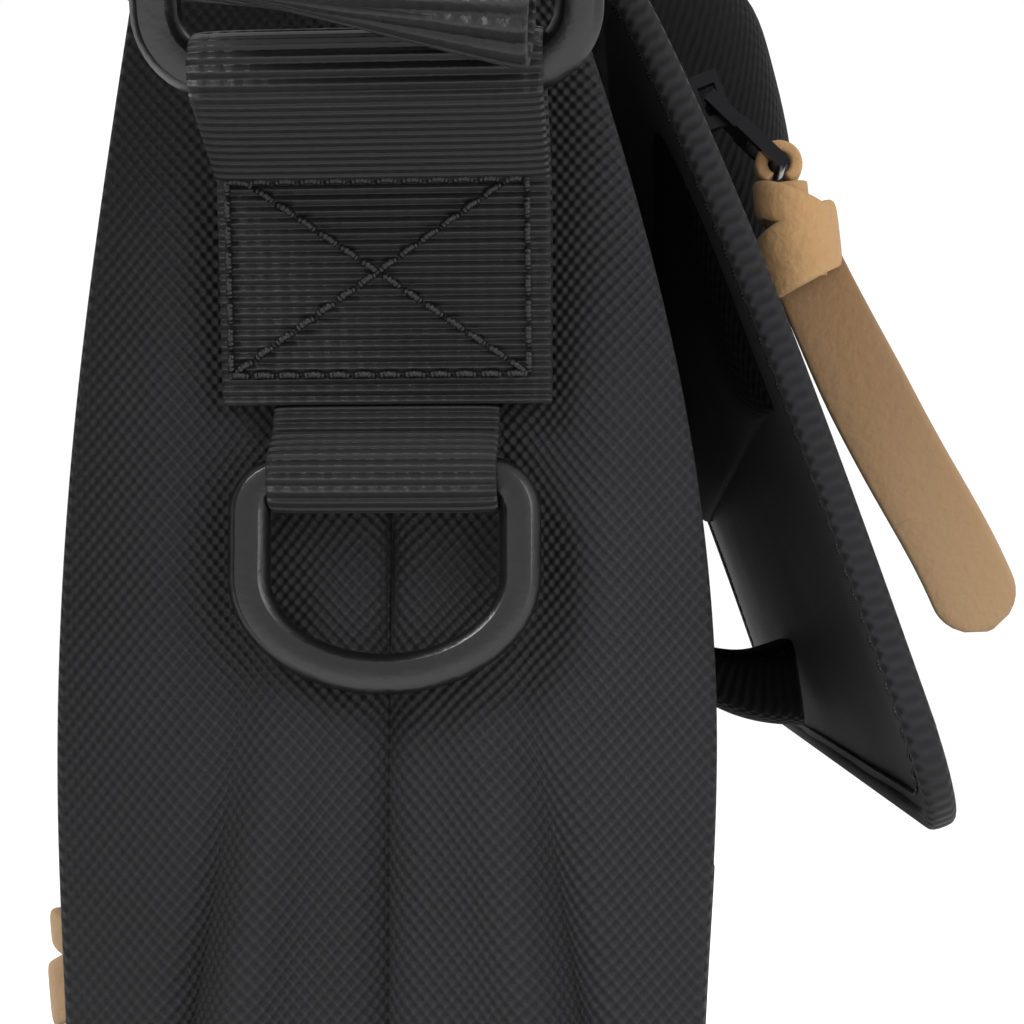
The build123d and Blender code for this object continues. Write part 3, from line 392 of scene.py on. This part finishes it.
def end_wall(way, half, curve):
    """Half an end wall. r runs from the middle seam to the edge, and Y = r curve(Z).

    X bulges by 2.7 sin(pi r)^0.45, less under the webbing. It is tucked in at the seam, and folds rise
    from the lower corners.
    """
    r = np.unique(np.concatenate([np.linspace(0, 1, 44), 1 - np.array([0.002, 0.008, 0.02]),
        [0.002, 0.008, 0.02]]))
    z = steps(0, HEIGHT, 150, 1.0)
    r, z = np.meshgrid(r, z, indexing="ij")
    y = r * curve(z)
    under = smooth(z, 138, 160) * (1 - smooth(abs(y), 17, 27))
    bulge = 2.7 * np.sin(np.pi * r) ** 0.45 * (1 - under) * smooth(z, 0, 12)
    line = abs(y) - 30 + 0.16 * (z - 60)
    fold = -2.6 * np.exp(-(line / 2.4) ** 2) + 1.7 * np.exp(-((line + 6) / 3.2) ** 2)
    fold *= (1 - smooth(z, 105, 165)) * smooth(z, 4, 30)
    tuck = -1.5 * np.exp(-(y / 2.0) ** 2) * (1 - smooth(z, 164, 172))
    x = END - 1.0 + bulge + tuck + fold + ripple(z, y * 2, 0.25) * (1 - under) * np.sin(np.pi * r)
    return slab(np.stack([way * x, y, z], -1), 2.0)


for way, side in ((-1, "left"), (1, "right")):
    for half, curve in (("front", front_y), ("rear", back_y)):
        node = f"gusset_{side}_{half}"
        piece(f"end_cloth_{side}_{half}", [end_wall(way, half, curve)], LOOKS["canvas"], "bag", [node])

piece("front_cloth", [wall(front_y, 1.0, 2.0, 0, HEIGHT, END - 2, 90)], LOOKS["canvas"], "bag",
      ["front_panel"])
piece("back_cloth", [wall(back_y, -1.0, 2.0, 0, HEIGHT, END - 2, 90)], LOOKS["canvas"], "bag",
    ["back_panel"])
piece("base_cloth", [level(-30, 31, 1.0, END - 2, 2.0)], LOOKS["canvas"], "bag", ["base_panel"])
piece("base_stiffener", [level(-27, 28, 3.25, END - 4, 2.4)], LOOKS["stiffener"], "bag", ["base_board"])
lining_sides = []
for way in (-1, 1):
    r, z = np.meshgrid(np.linspace(0, 1, 24), steps(5, HEIGHT, 40, 0.4), indexing="ij")
    y = (front_y(z) + 2.4) * (1 - r) + (back_y(z) - 2.4) * r
    lining_sides.append(slab(np.stack([way * (END - 2.4) + 0 * y, y, z], -1), 0.8))
piece("lining_cloth_piece", [
    wall(front_y, 2.4, 0.8, 5, HEIGHT, END - 2.6), wall(back_y, -2.4, 0.8, 5, HEIGHT, END - 2.6),
    level(-28.5, 29.5, 4.9, END - 2.6, 0.8)] + lining_sides, LOOKS["lining_cloth"], "bag", ["lining"])
sleeve = piece("sleeve_foam", [slab(np.stack(np.meshgrid(
    steps(-END + 3.2, END - 3.2, 50, 2.5), [16.5], steps(5.5, 190, 40, 2.5), indexing="ij"), -1)[:, 0],
        5.0)],
    LOOKS["lining_cloth"], "bag", ["tablet_sleeve"])
piece("organiser_cloth", [wall(front_y, 12.0, 1.2, 6, 150, END - 3.2),
    level(-29, -20, 5.9, END - 3.2, 1.1)],
      LOOKS["lining_cloth"], "bag", ["organiser_pocket"])
piece("slip_pocket_cloth", [wall(front_y, -0.8, 1.6, 20, 125, END - 25)], LOOKS["canvas"], "bag",
      ["front_slip_pocket"])
piece("loop_tape", [wall(front_y, -0.6, 1.2, 134, 165.5, 28, 20)], LOOKS["hook_loop"], "bag",
      ["loop_patch"])
piece("rear_tape", [wall(back_y, 0.25, 0.5, 124.5, 137.5, 142, 12)], LOOKS["zip_tape"], "bag",
      ["rear_zip_tape"])
piece("rear_coil", [sweep(np.stack([np.linspace(-142, 142, 80), 38.95 + np.zeros(80), 131 + np.zeros(80)],
    -1),
      (0, 0, 1), 3.0, 0.9, profile(2.6))], LOOKS["zip_coil"], "bag", ["rear_zip_coil"])
piece("seam_tape_cloth", [wall(back_y, 1.25, 2.4, 219, 231, FLAP_HALF - 4, 14)], LOOKS["canvas"], "bag",
      ["flap_seam_tape"])


def round_rectangle(half_x, y0, y1, radius, z, count=10):
    """A closed path round a level rectangle with quarter-circle corners."""
    path = []
    for cx, cy, start in ((half_x, y1, 0), (-half_x, y1, 90), (-half_x, y0, 180), (half_x, y0, 270)):
        for t in np.radians(start + np.linspace(0, 90, count)):
            cos, sin = math.cos(t), math.sin(t)
            path.append((cx - math.copysign(radius, cx) + radius * cos,
                         cy - (radius if cy == y1 else -radius) + radius * sin, z))
    return np.array(path)


piece("mouth_tape", [sweep(round_rectangle(END - 1.2, -19.8, 29.3, 2.0, 229.5), (0, 0, 1), 3.0, 3.0,
    profile(3.5),
      closed=True)], LOOKS["binding"], "bag",
      ["mouth_binding_front", "mouth_binding_back", "mouth_binding_left", "mouth_binding_right"])


# ---------------------------------------------------------------- flap
def flap_line(s, out):
    """Y and Z at a distance s along the flap from its back hinge, and out from its middle.

    It is flat over the mouth, then a soft turn at the front fold, then the slope, which bows out by
    FLAP_BOW sin(pi t^0.7) for t from 0 at the fold to 1 at the lower edge.
    """
    run = HINGE_Y - AXIS_Y
    bent = smooth(s, run - 4, run + 4)
    turn = bent * (math.pi / 2 - SLOPE)
    down = np.maximum(s - run, 0)
    t = np.clip(down / DROP, 0, 1)
    push = out + FLAP_BOW * np.sin(np.pi * t**0.7)
    y = HINGE_Y - np.minimum(s, run) - down * math.sin(SLOPE)
    z = AXIS_Z - down * math.cos(SLOPE)
    ease = -1.1 * np.exp(-((s - run) / 3.5) ** 2)
    return y - np.sin(turn) * (push + ease), z + np.cos(turn) * (push + ease)


FLAP_LENGTH = HINGE_Y - AXIS_Y + DROP


def flap_sheet(out, thick, margin, start):
    """A layer of the flap; its half-width narrows by CORNER - sqrt(CORNER^2 - d^2) at the lower corners."""
    s = np.unique(np.concatenate([steps(start, FLAP_LENGTH - margin, 150, thick / 2)]))
    u = steps(-1, 1, 90, 0.006)
    u, s = np.meshgrid(u, s, indexing="ij")
    d = np.clip(s - (FLAP_LENGTH - CORNER), 0, CORNER - 0.2)
    x = u * (FLAP_HALF - margin - CORNER + np.sqrt(CORNER**2 - d**2))
    y, z = flap_line(s, out + ripple(x, s * 1.5, 0.18) * smooth(s, 60, 90))
    return slab(np.stack([x, y, z], -1), thick)


for name, out, thick, margin, finish, nodes in (
        ("flap_cloth", 0.7, 1.6, 1.0, "canvas", ["flap_top_shell", "flap_front_shell"]),
        ("flap_inside", -0.75, 1.3, 1.4, "lining_cloth", ["flap_top_lining", "flap_front_lining"])):
    made = piece(name, [flap_sheet(out, thick, margin, 0.5)], LOOKS[finish], None, nodes)
    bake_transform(made)

# The turned hem runs down one side, along the bottom and up the other.
straight = np.linspace(1, FLAP_LENGTH - CORNER, 90)
quarter = np.radians(np.linspace(4, 86, 14))
edge_s = np.concatenate([straight, FLAP_LENGTH - CORNER + (CORNER - 1.5) * np.sin(quarter)])
edge_x = np.concatenate([0 * straight + FLAP_HALF - 1.5,
    FLAP_HALF - CORNER + (CORNER - 1.5) * np.cos(quarter)])
bottom_x = np.linspace(edge_x[-1] - 4, -edge_x[-1] + 4, 60)
hem_s = np.concatenate([edge_s, 0 * bottom_x + FLAP_LENGTH - 1.5, edge_s[::-1]])
hem_x = np.concatenate([edge_x, bottom_x, -edge_x[::-1]])
hem_y, hem_z = flap_line(hem_s, 0 * hem_s)
hem_path = np.stack([hem_x, hem_y, hem_z], -1)
hem_along = np.gradient(hem_path, axis=0)
outward = np.stack([0 * hem_s, *[b - a for a, b in zip(flap_line(hem_s, 0 * hem_s),
    flap_line(hem_s, 0 * hem_s + 1))]], -1)
hem_across = np.cross(hem_along, outward)
hem = piece("flap_hem", [sweep(hem_path, hem_across, 3.2, 3.8, profile(3))], LOOKS["binding"], None,
            ["flap_binding"])
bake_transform(hem)


def stitches(points, normals, spacing, length, radius=0.22):
    """Short threads laid along a line at even spacing, each a flattened arc that dips in at both ends."""
    gone = np.concatenate([[0], np.cumsum(np.linalg.norm(np.diff(points, axis=0), axis=1))])
    made = []
    for middle in np.arange(spacing / 2, gone[-1], spacing):
        at = middle + length * np.linspace(-0.5, 0.5, 7)
        line = np.stack([np.interp(at, gone, points[:, k]) for k in range(3)], -1)
        up = np.array([np.interp(middle, gone, normals[:, k]) for k in range(3)])
        up /= np.linalg.norm(up)
        lift = (radius * 1.4 * (1 - (np.linspace(-1, 1, 7)) ** 2) - radius * 0.7)[:, None]
        side = np.cross(line[-1] - line[0], up)
        made.append(sweep(line + up * lift, side, 2.2 * radius, 2 * radius, profile(2, 6)))
    return made


rows = []
for out in (1.6, -1.5):
    y, z = flap_line(hem_s, 0 * hem_s + out)
    inset = hem_path.copy()
    inset[:, 1], inset[:, 2] = y, z
    inwards = hem_across / np.linalg.norm(hem_across, axis=1, keepdims=True)
    centre_pull = np.sign(np.sum(inwards * (np.array([0, AXIS_Y - 20, 190]) - hem_path), 1))[:, None]
    rows += stitches(inset + inwards * centre_pull * 3.4, outward * np.sign(out), 2.9, 2.2)
seam = piece("flap_stitches", rows, THREAD, None)
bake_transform(seam)

# The raised pocket: a rounded wedge whose ends draw down on to the flap.
wedge = np.array([(2, 1.6), (1, 7.0), (-4.5, 14.5), (-1.2, 17.5), (10, 18.5), (24, 16.0), (38, 10.5),
    (47, 5.6), (53, 1.6)])
round_ring = spline(np.concatenate([wedge, wedge[:1]]), 72)[:-1]
rings, maps = [], []
for x in np.concatenate([-129.9 + 8 * np.linspace(0, 1, 10) ** 2, np.linspace(-118, 118, 50),
                         129.9 - 8 * np.linspace(1, 0, 10) ** 2]):
    full = (1 - abs(x / 130) ** 26) ** 0.5
    down = round_ring[:, 0]
    out = 1.4 + (round_ring[:, 1] - 1.4) * full * (1 + 0.03 * math.sin(x / 31))
    y = AXIS_Y - down * math.sin(SLOPE) - out * math.cos(SLOPE)
    z = AXIS_Z - down * math.cos(SLOPE) + out * math.sin(SLOPE)
    rings.append(np.stack([0 * y + x, y, z], -1))
    maps.append(np.stack([0 * y + x, down + out], -1))
piece("pocket_cloth", [(np.array(rings), np.array(maps), False)], POCKET_SHADED_LOOK, "flap_front",
    ["flap_pocket"])

for name, s0, s1, out, width, thick, finish, node in (
        ("flap_tape", 12, 98, 1.75, 13.0, 0.5, "zip_tape", "flap_zip_tape"),
        ("flap_coil", 12, 98, 2.45, 3.0, 0.9, "zip_coil", "flap_zip_coil")):
    y, z = flap_line(HINGE_Y - AXIS_Y + np.linspace(s0, s1, 60), out)
    path = np.stack([0 * y + ZIP_X, y, z], -1)
    piece(name, [sweep(path, (1, 0, 0), width, thick, profile(4))], LOOKS[finish], "flap_front", [node])

high_down = (AXIS_Z - 151.5) / math.cos(SLOPE)
start = np.array([AXIS_Y - high_down * math.sin(SLOPE) + 0.6, 144.5])
stop = np.array([front_y(147) - 1.9, 146.8])
reach = np.linspace(start, stop, 20)
hook_path = np.stack([0 * reach[:, 0], reach[:, 0],
    reach[:, 1] - 1.5 * np.sin(np.pi * np.linspace(0, 1, 20))], -1)
piece("hook_strip", [sweep(hook_path, (1, 0, 0), HOOK_WIDTH, np.linspace(16, 9, 20), profile(5))],
    LOOKS["hook_loop"],
      "flap_front", ["hook_tab"])


# ---------------------------------------------------------------- webbing and rings
def turned(centre, radius, start, stop, count=24):
    """Points of an arc in X and Z, by angle in degrees from +X."""
    t = np.radians(np.linspace(start, stop, count))
    return [(centre[0] + radius * math.cos(a), centre[1] + radius * math.sin(a)) for a in t]


def even(points, count):
    """The same line with evenly spaced points."""
    p = np.array(points, float)
    gone = np.concatenate([[0], np.cumsum(np.linalg.norm(np.diff(p, axis=0), axis=1))])
    at = np.linspace(0, gone[-1], count)
    return np.stack([np.interp(at, gone, p[:, k]) for k in range(p.shape[1])], -1)


def in_space(pairs, way):
    """X, Z pairs as points of the mid plane, on one end of the bag."""
    p = np.array(pairs, float)
    return np.stack([way * p[:, 0], 0 * p[:, 0], p[:, 1]], -1)


for way, side in ((-1, "left"), (1, "right")):
    # Anchor webbing: up the outside, round the lower bar and down behind.
    tab = [(END + 2.5, 179.8), (END + 4.0, 190), (END + 6.6, 205)] + turned(LOWER_BAR, 3.8, -55, 150) + [
        (END + 5.5, 208), (END + 0.9, 203), (END + 0.9, 180.2)]
    tab_path = in_space(even(tab, 110), way)
    piece(f"tab_webbing_{side}", [sweep(tab_path, (0, 1, 0), WEB_WIDTH, WEB)], LOOKS["webbing"], "bag",
          [f"anchor_tab_{side}"])
    face = in_space([(END + 3.3, 180), (END + 4.85, 190), (END + 7.4, 205)], way)

    def on_tab(y, z):
        """The point of the webbing's outer face at y and z, lifted by 0.12."""
        x = np.interp(z, face[:, 2], abs(face[:, 0]))
        return np.stack([way * (x + 0.12), y, z], -1)

    threads = []
    for (y0, z0), (y1, z1) in (((-16.4, 206), (17.7, 206)), ((-16.4, 183), (17.7, 183)),
            ((-16.4, 183), (-16.4, 206)),
                               ((17.7, 183), (17.7, 206)), ((-16.4, 183), (17.7, 206)),
                                   ((-16.4, 206), (17.7, 183))):
        line = on_tab(np.linspace(y0, y1, 30), np.minimum(np.linspace(z0, z1, 30), 204.6))
        threads += stitches(line, np.tile([way, 0.0, 0.15], (30, 1)), 2.9, 2.3, 0.38)
    piece(f"tab_stitches_{side}", threads, THREAD, "bag")

    loop = [(END + 2.35, 179.4), (END + 3.6, 176)] + turned(D_BAR, 3.4, 38, -200) + [(END + 0.8, 175),
        (END + 0.8, 179.4)]
    piece(f"loop_webbing_{side}", [sweep(in_space(even(loop, 70), way), (0, 1, 0), LOOP_WIDTH, 1.4)],
        LOOKS["webbing"], "bag",
          [f"d_ring_loop_{side}"])

    # D-ring: a straight bar above, sides, and a half ellipse below.
    half, top, middle = 15.45, D_BAR[1], 160.1
    outline = [(y, top) for y in np.linspace(-half + 4, half - 4, 14)]
    outline += [(half - 4 + 4 * math.sin(t), top - 4 + 4 * math.cos(t)) for t in np.radians(np.linspace(8,
        90, 10))]
    outline += [(half * math.cos(t), middle - 11.1 * math.sin(t)) for t in np.radians(np.linspace(0, 180,
        60))]
    outline += [(-half + 4 - 4 * math.cos(t), top - 4 + 4 *
        math.sin(t)) for t in np.radians(np.linspace(0, 82, 10))]
    ring = np.array(outline)
    ring_path = np.stack([0 * ring[:, 0] + way * D_BAR[0], ring[:, 0], ring[:, 1]], -1)
    tangent = np.roll(ring_path, -1, 0) - np.roll(ring_path, 1, 0)
    piece(f"d_ring_moulding_{side}", [sweep(ring_path, np.cross(tangent, (1, 0, 0)), 4.6, 3.6, BEVELLED,
        closed=True)],
          LOOKS["ring_plastic"], f"d_ring_{side}", [f"d_ring_{side}"])

    # Strap ring: a rounded rectangle in the plane through both bars.
    low, high = np.array(LOWER_BAR), np.array(UPPER_BAR)
    up = (high - low) / np.linalg.norm(high - low)
    spacing, half, radius = np.linalg.norm(high - low), 22.8, 6.5
    corner = []
    for cy, cs, start in ((half, spacing, 0), (-half, spacing, 90), (-half, 0, 180), (half, 0, 270)):
        for t in np.radians(start + np.linspace(0, 90, 12)):
            corner.append((cy - math.copysign(radius, cy) + radius * math.cos(t),
                           cs + (-radius if cs else radius) + radius * math.sin(t)))
    corner = even(corner + corner[:1], 140)[:-1]
    flat = low[None] + up[None] * corner[:, 1:]
    ring_path = np.stack([way * flat[:, 0], corner[:, 0], flat[:, 1]], -1)
    tangent = np.roll(ring_path, -1, 0) - np.roll(ring_path, 1, 0)
    facing = np.array([way * up[1], 0, -up[0]])
    piece(f"strap_ring_moulding_{side}", [sweep(ring_path, np.cross(tangent, facing), 5.2, 4.5, BEVELLED,
        closed=True)],
          LOOKS["ring_plastic"], f"strap_ring_{side}", [f"strap_ring_{side}"])

# ---------------------------------------------------------------- shoulder strap
ROUTE = [(177, 0, 243), (177, 2.5, 262), (176, 12, 275), (175, 28, 281), (174, 45, 277), (174, 58, 265),
    (174, 66, 246),
         (174, 72.5, 202), (174, 79, 158), (174, 83.5, 122), (172, 86.5, 95), (170, 88, 72.7)]
TURN = [0, 14, 32, 68, 90, 90, 90, 90, 90, 53, 18, 0]
for degrees in (22, 45, 68, 90):
    t = math.radians(degrees)
    ROUTE.append((100 + 70 * math.cos(t), 88, 2.7 + 70 * (1 - math.sin(t))))
    TURN.append(0)
line = spline(ROUTE, 260)
knots = np.concatenate([[0], np.cumsum(np.linalg.norm(np.diff(np.array(ROUTE, float), axis=0), axis=1))])
angle = np.radians(np.interp(np.linspace(0, knots[-1], 260), knots, TURN))
line[:, 2] = np.maximum(line[:, 2], 2.7)
run = np.stack([np.linspace(98, -98, 60), np.full(60, 88.0), np.full(60, 2.7)], -1)
tilt = 0.28 * (1 - smooth(line[:, 2], 246, 266)) * (line[:, 1] < 15)
across = np.stack([np.sin(angle), np.cos(angle), tilt], -1)
mirror = np.array([-1, 1, 1])
path = np.concatenate([line, run, (line * mirror)[::-1]])
widths = np.concatenate([across, np.tile([0, 1.0, 0], (60, 1)), (across * mirror)[::-1]])
strap = [sweep(path, widths, WEB_WIDTH, WEB)]
for way in (-1, 1):
    hang = [(END + 23.6, 249), (END + 20.6, 234), (END + 25.0, 222)] + turned((END + 29.0, 220.4), 3.9,
        200, 340, 14) + [
        (END + 33.0, 223), (END + 29.6, 236), (END + 25.6, 249)]
    strap.append(sweep(in_space(even(spline(hang, 90), 90), way), (0, 0.963, 0.269), 37, WEB))
piece("strap_webbing", strap, LOOKS["webbing"], "bag", ["shoulder_strap"])

x, y = np.meshgrid(steps(-75, 75, 50, 3.5), steps(-1, 1, 34, 0.06), indexing="ij")
inset = np.clip(abs(x) - 61, 0, 13.8)
wide = 15 + np.sqrt(14**2 - inset**2)
quilt = 0.35 * np.cos(x / 7.5) * (1 - y**2)
pad = piece("pad_foam", [slab(np.stack([x, 88 + y * wide, 7.3 + quilt], -1), 6.6)], LOOKS["pad_cloth"],
    "shoulder_pad",
            ["shoulder_pad"])
keepers = []
for x0 in (-45, 45):
    around = [(-20, 3.4), (-20, 0.8), (-19, 0.6), (19, 0.6), (20, 0.8), (20, 3.4)]
    keeper = even(around, 50)
    keepers.append(sweep(np.stack([0 * keeper[:, 0] + x0, 88 + keeper[:, 0], keeper[:, 1]], -1),
        (1, 0, 0), 22, 1.1))
piece("keeper_webbing", keepers, LOOKS["webbing"], "shoulder_pad", ["pad_keepers"])

# ---------------------------------------------------------------- leather pulls
END_BAR = (-45.8, 210.5)


def pull(name, x, bar, tail, side, body, nodes):
    """A leather loop round the puller's end bar, a knot of two slanted bands, and a tail along its line.

    The tail's last TIP millimetres narrow by sqrt(1 - (1 - distance/TIP)^2), a half round.
    """
    y0, z0 = bar
    turn = np.radians(np.linspace(-60, 240, 30))
    eye = np.stack([0 * turn + x, y0 + 2.1 * np.cos(turn), z0 + 2.1 * np.sin(turn)], -1)
    stem = np.array([(x, y0 - side, z0 - 2.6), (x, y0 - 1.4 * side, z0 - 7)])
    parts = [sweep(eye, (1, 0, 0), 4.2, 1.6, profile(4)),
        sweep(even(stem, 8), (1, 0, 0), 6.5, 5.0, profile(3))]
    for drop, tilt, tall in ((6.2, 26, 4.6), (10.8, -30, 8.2)):
        t = np.linspace(0, 2 * np.pi, 48, endpoint=False)
        lean = math.tan(math.radians(tilt))
        band = np.stack([x + 3.7 * np.cos(t), y0 - side * (1.4 + 0.09 * drop) + 4.1 * np.sin(t),
                         z0 - drop + lean * 3.9 * np.sin(t)], -1)
        parts.append(sweep(band, (0, 0.1, 1), tall, 1.8, profile(4), closed=True))
    core = np.array([(x, y0 - 1.7 * side, z0 - 5), (x, y0 - 2.6 * side, z0 - 14)])
    parts.append(sweep(even(core, 8), (1, 0, 0), 6.4, 6.6, profile(2.4)))
    piece(name + "_wrap", parts, WRAP_LIT_LOOK, body, [nodes[0]])
    middle = spline(tail, 90)
    s = np.linspace(0, 1, 90)
    s[-30:] = 1 - (1 - s[-30]) * np.cos(np.linspace(0, np.pi / 2, 30))
    middle = even(middle, 400)[np.round(399 * s).astype(int)]
    gone = np.linalg.norm(np.diff(middle, axis=0), axis=1).sum()
    from_end = np.clip((1 - s) * gone / TIP, 0, 1)
    widths = (9.0 + 1.2 * smooth(s, 0, 0.4)) * np.sqrt(np.maximum(1 - (1 - from_end) ** 2, 0.01))
    face = (0, math.cos(0.5), -math.sin(0.5)) if side else (1, 0, 0)
    piece(name + "_strip", [sweep(middle, face, widths, 1.8, profile(5))], LOOKS["tan_leather"], body,
        [nodes[1]])


pull("flap_leather", ZIP_X, END_BAR, [(ZIP_X, -48.6, 199), (ZIP_X - 0.7, -54, 187), (ZIP_X - 1.0, -61, 173),
     (ZIP_X - 0.2, -67, 162), (ZIP_X + 0.6, -70.5, 154)], 1, "flap_pull", ["flap_knot", "flap_tail"])
pull("rear_leather", REAR_X, (43.7, 119.5), [(REAR_X, 43.7, 107), (REAR_X, 43.9, 90), (REAR_X, 44.3, 74),
    (REAR_X, 43.8, 56)],
     0, "rear_pull", ["rear_knot", "rear_tail"])

# ---------------------------------------------------------------- hard pieces: their solids, edges eased
for name in ("flap_slider", "flap_puller", "rear_slider", "rear_puller", "strap_adjuster"):
    eased = frame["nodes"][name].modifiers.new("eased", "BEVEL")
    eased.width = 0.00022
    eased.segments = 2
    eased.angle_limit = math.radians(40)

# ---------------------------------------------------------------- floor, light and camera
floor_mesh = bpy.data.meshes.new("floor")
floor_mesh.from_pydata([(-6, -6, -0.0005), (6, -6, -0.0005), (6, 6, -0.0005), (-6, 6, -0.0005)], [],
    [(0, 1, 2, 3)])
floor = bpy.data.objects.new("floor", floor_mesh)
bpy.context.scene.collection.objects.link(floor)
floor_look = bpy.data.materials.new("floor_paper")  # matt white paper
floor_look.use_nodes = True
floor_shader = floor_look.node_tree.nodes["Principled BSDF"]
floor_shader.inputs["Base Color"].default_value = (0.97, 0.97, 0.97, 1)
floor_shader.inputs["Roughness"].default_value = 0.9
floor_mesh.materials.append(floor_look)

world = bpy.data.worlds.new("studio")
bpy.context.scene.world = world
world.use_nodes = True
world.node_tree.nodes["Background"].inputs["Color"].default_value = (1, 1, 1, 1)
world.node_tree.nodes["Background"].inputs["Strength"].default_value = 1.06


def lamp(name, place, aim, size, power):
    """A soft rectangular studio light."""
    data = bpy.data.lights.new(name, "AREA")
    data.size = size
    data.energy = power
    made = bpy.data.objects.new(name, data)
    made.location = place
    made.rotation_euler = (Vector(aim) - Vector(place)).to_track_quat("-Z", "Y").to_euler()
    bpy.context.scene.collection.objects.link(made)


lamp("key", (-0.7, 0.75, 0.95), (-0.15, 0, 0.16), 0.5, 20)
lamp("fill", (-0.8, -0.8, 0.5), (-0.15, -0.03, 0.18), 0.7, 9)

camera_data = bpy.data.cameras.new("camera")
camera_data.lens = 70.8
camera_data.sensor_width = 36
camera_data.clip_start = 0.01
camera = bpy.data.objects.new("camera", camera_data)
camera.location = (-0.383, -0.030, 0.154)
camera.rotation_euler = Vector((1, 0.0685, 0.0586)).to_track_quat("-Z", "Y").to_euler()
bpy.context.scene.collection.objects.link(camera)
bpy.context.scene.camera = camera
bpy.context.scene.view_settings.view_transform = "Standard"
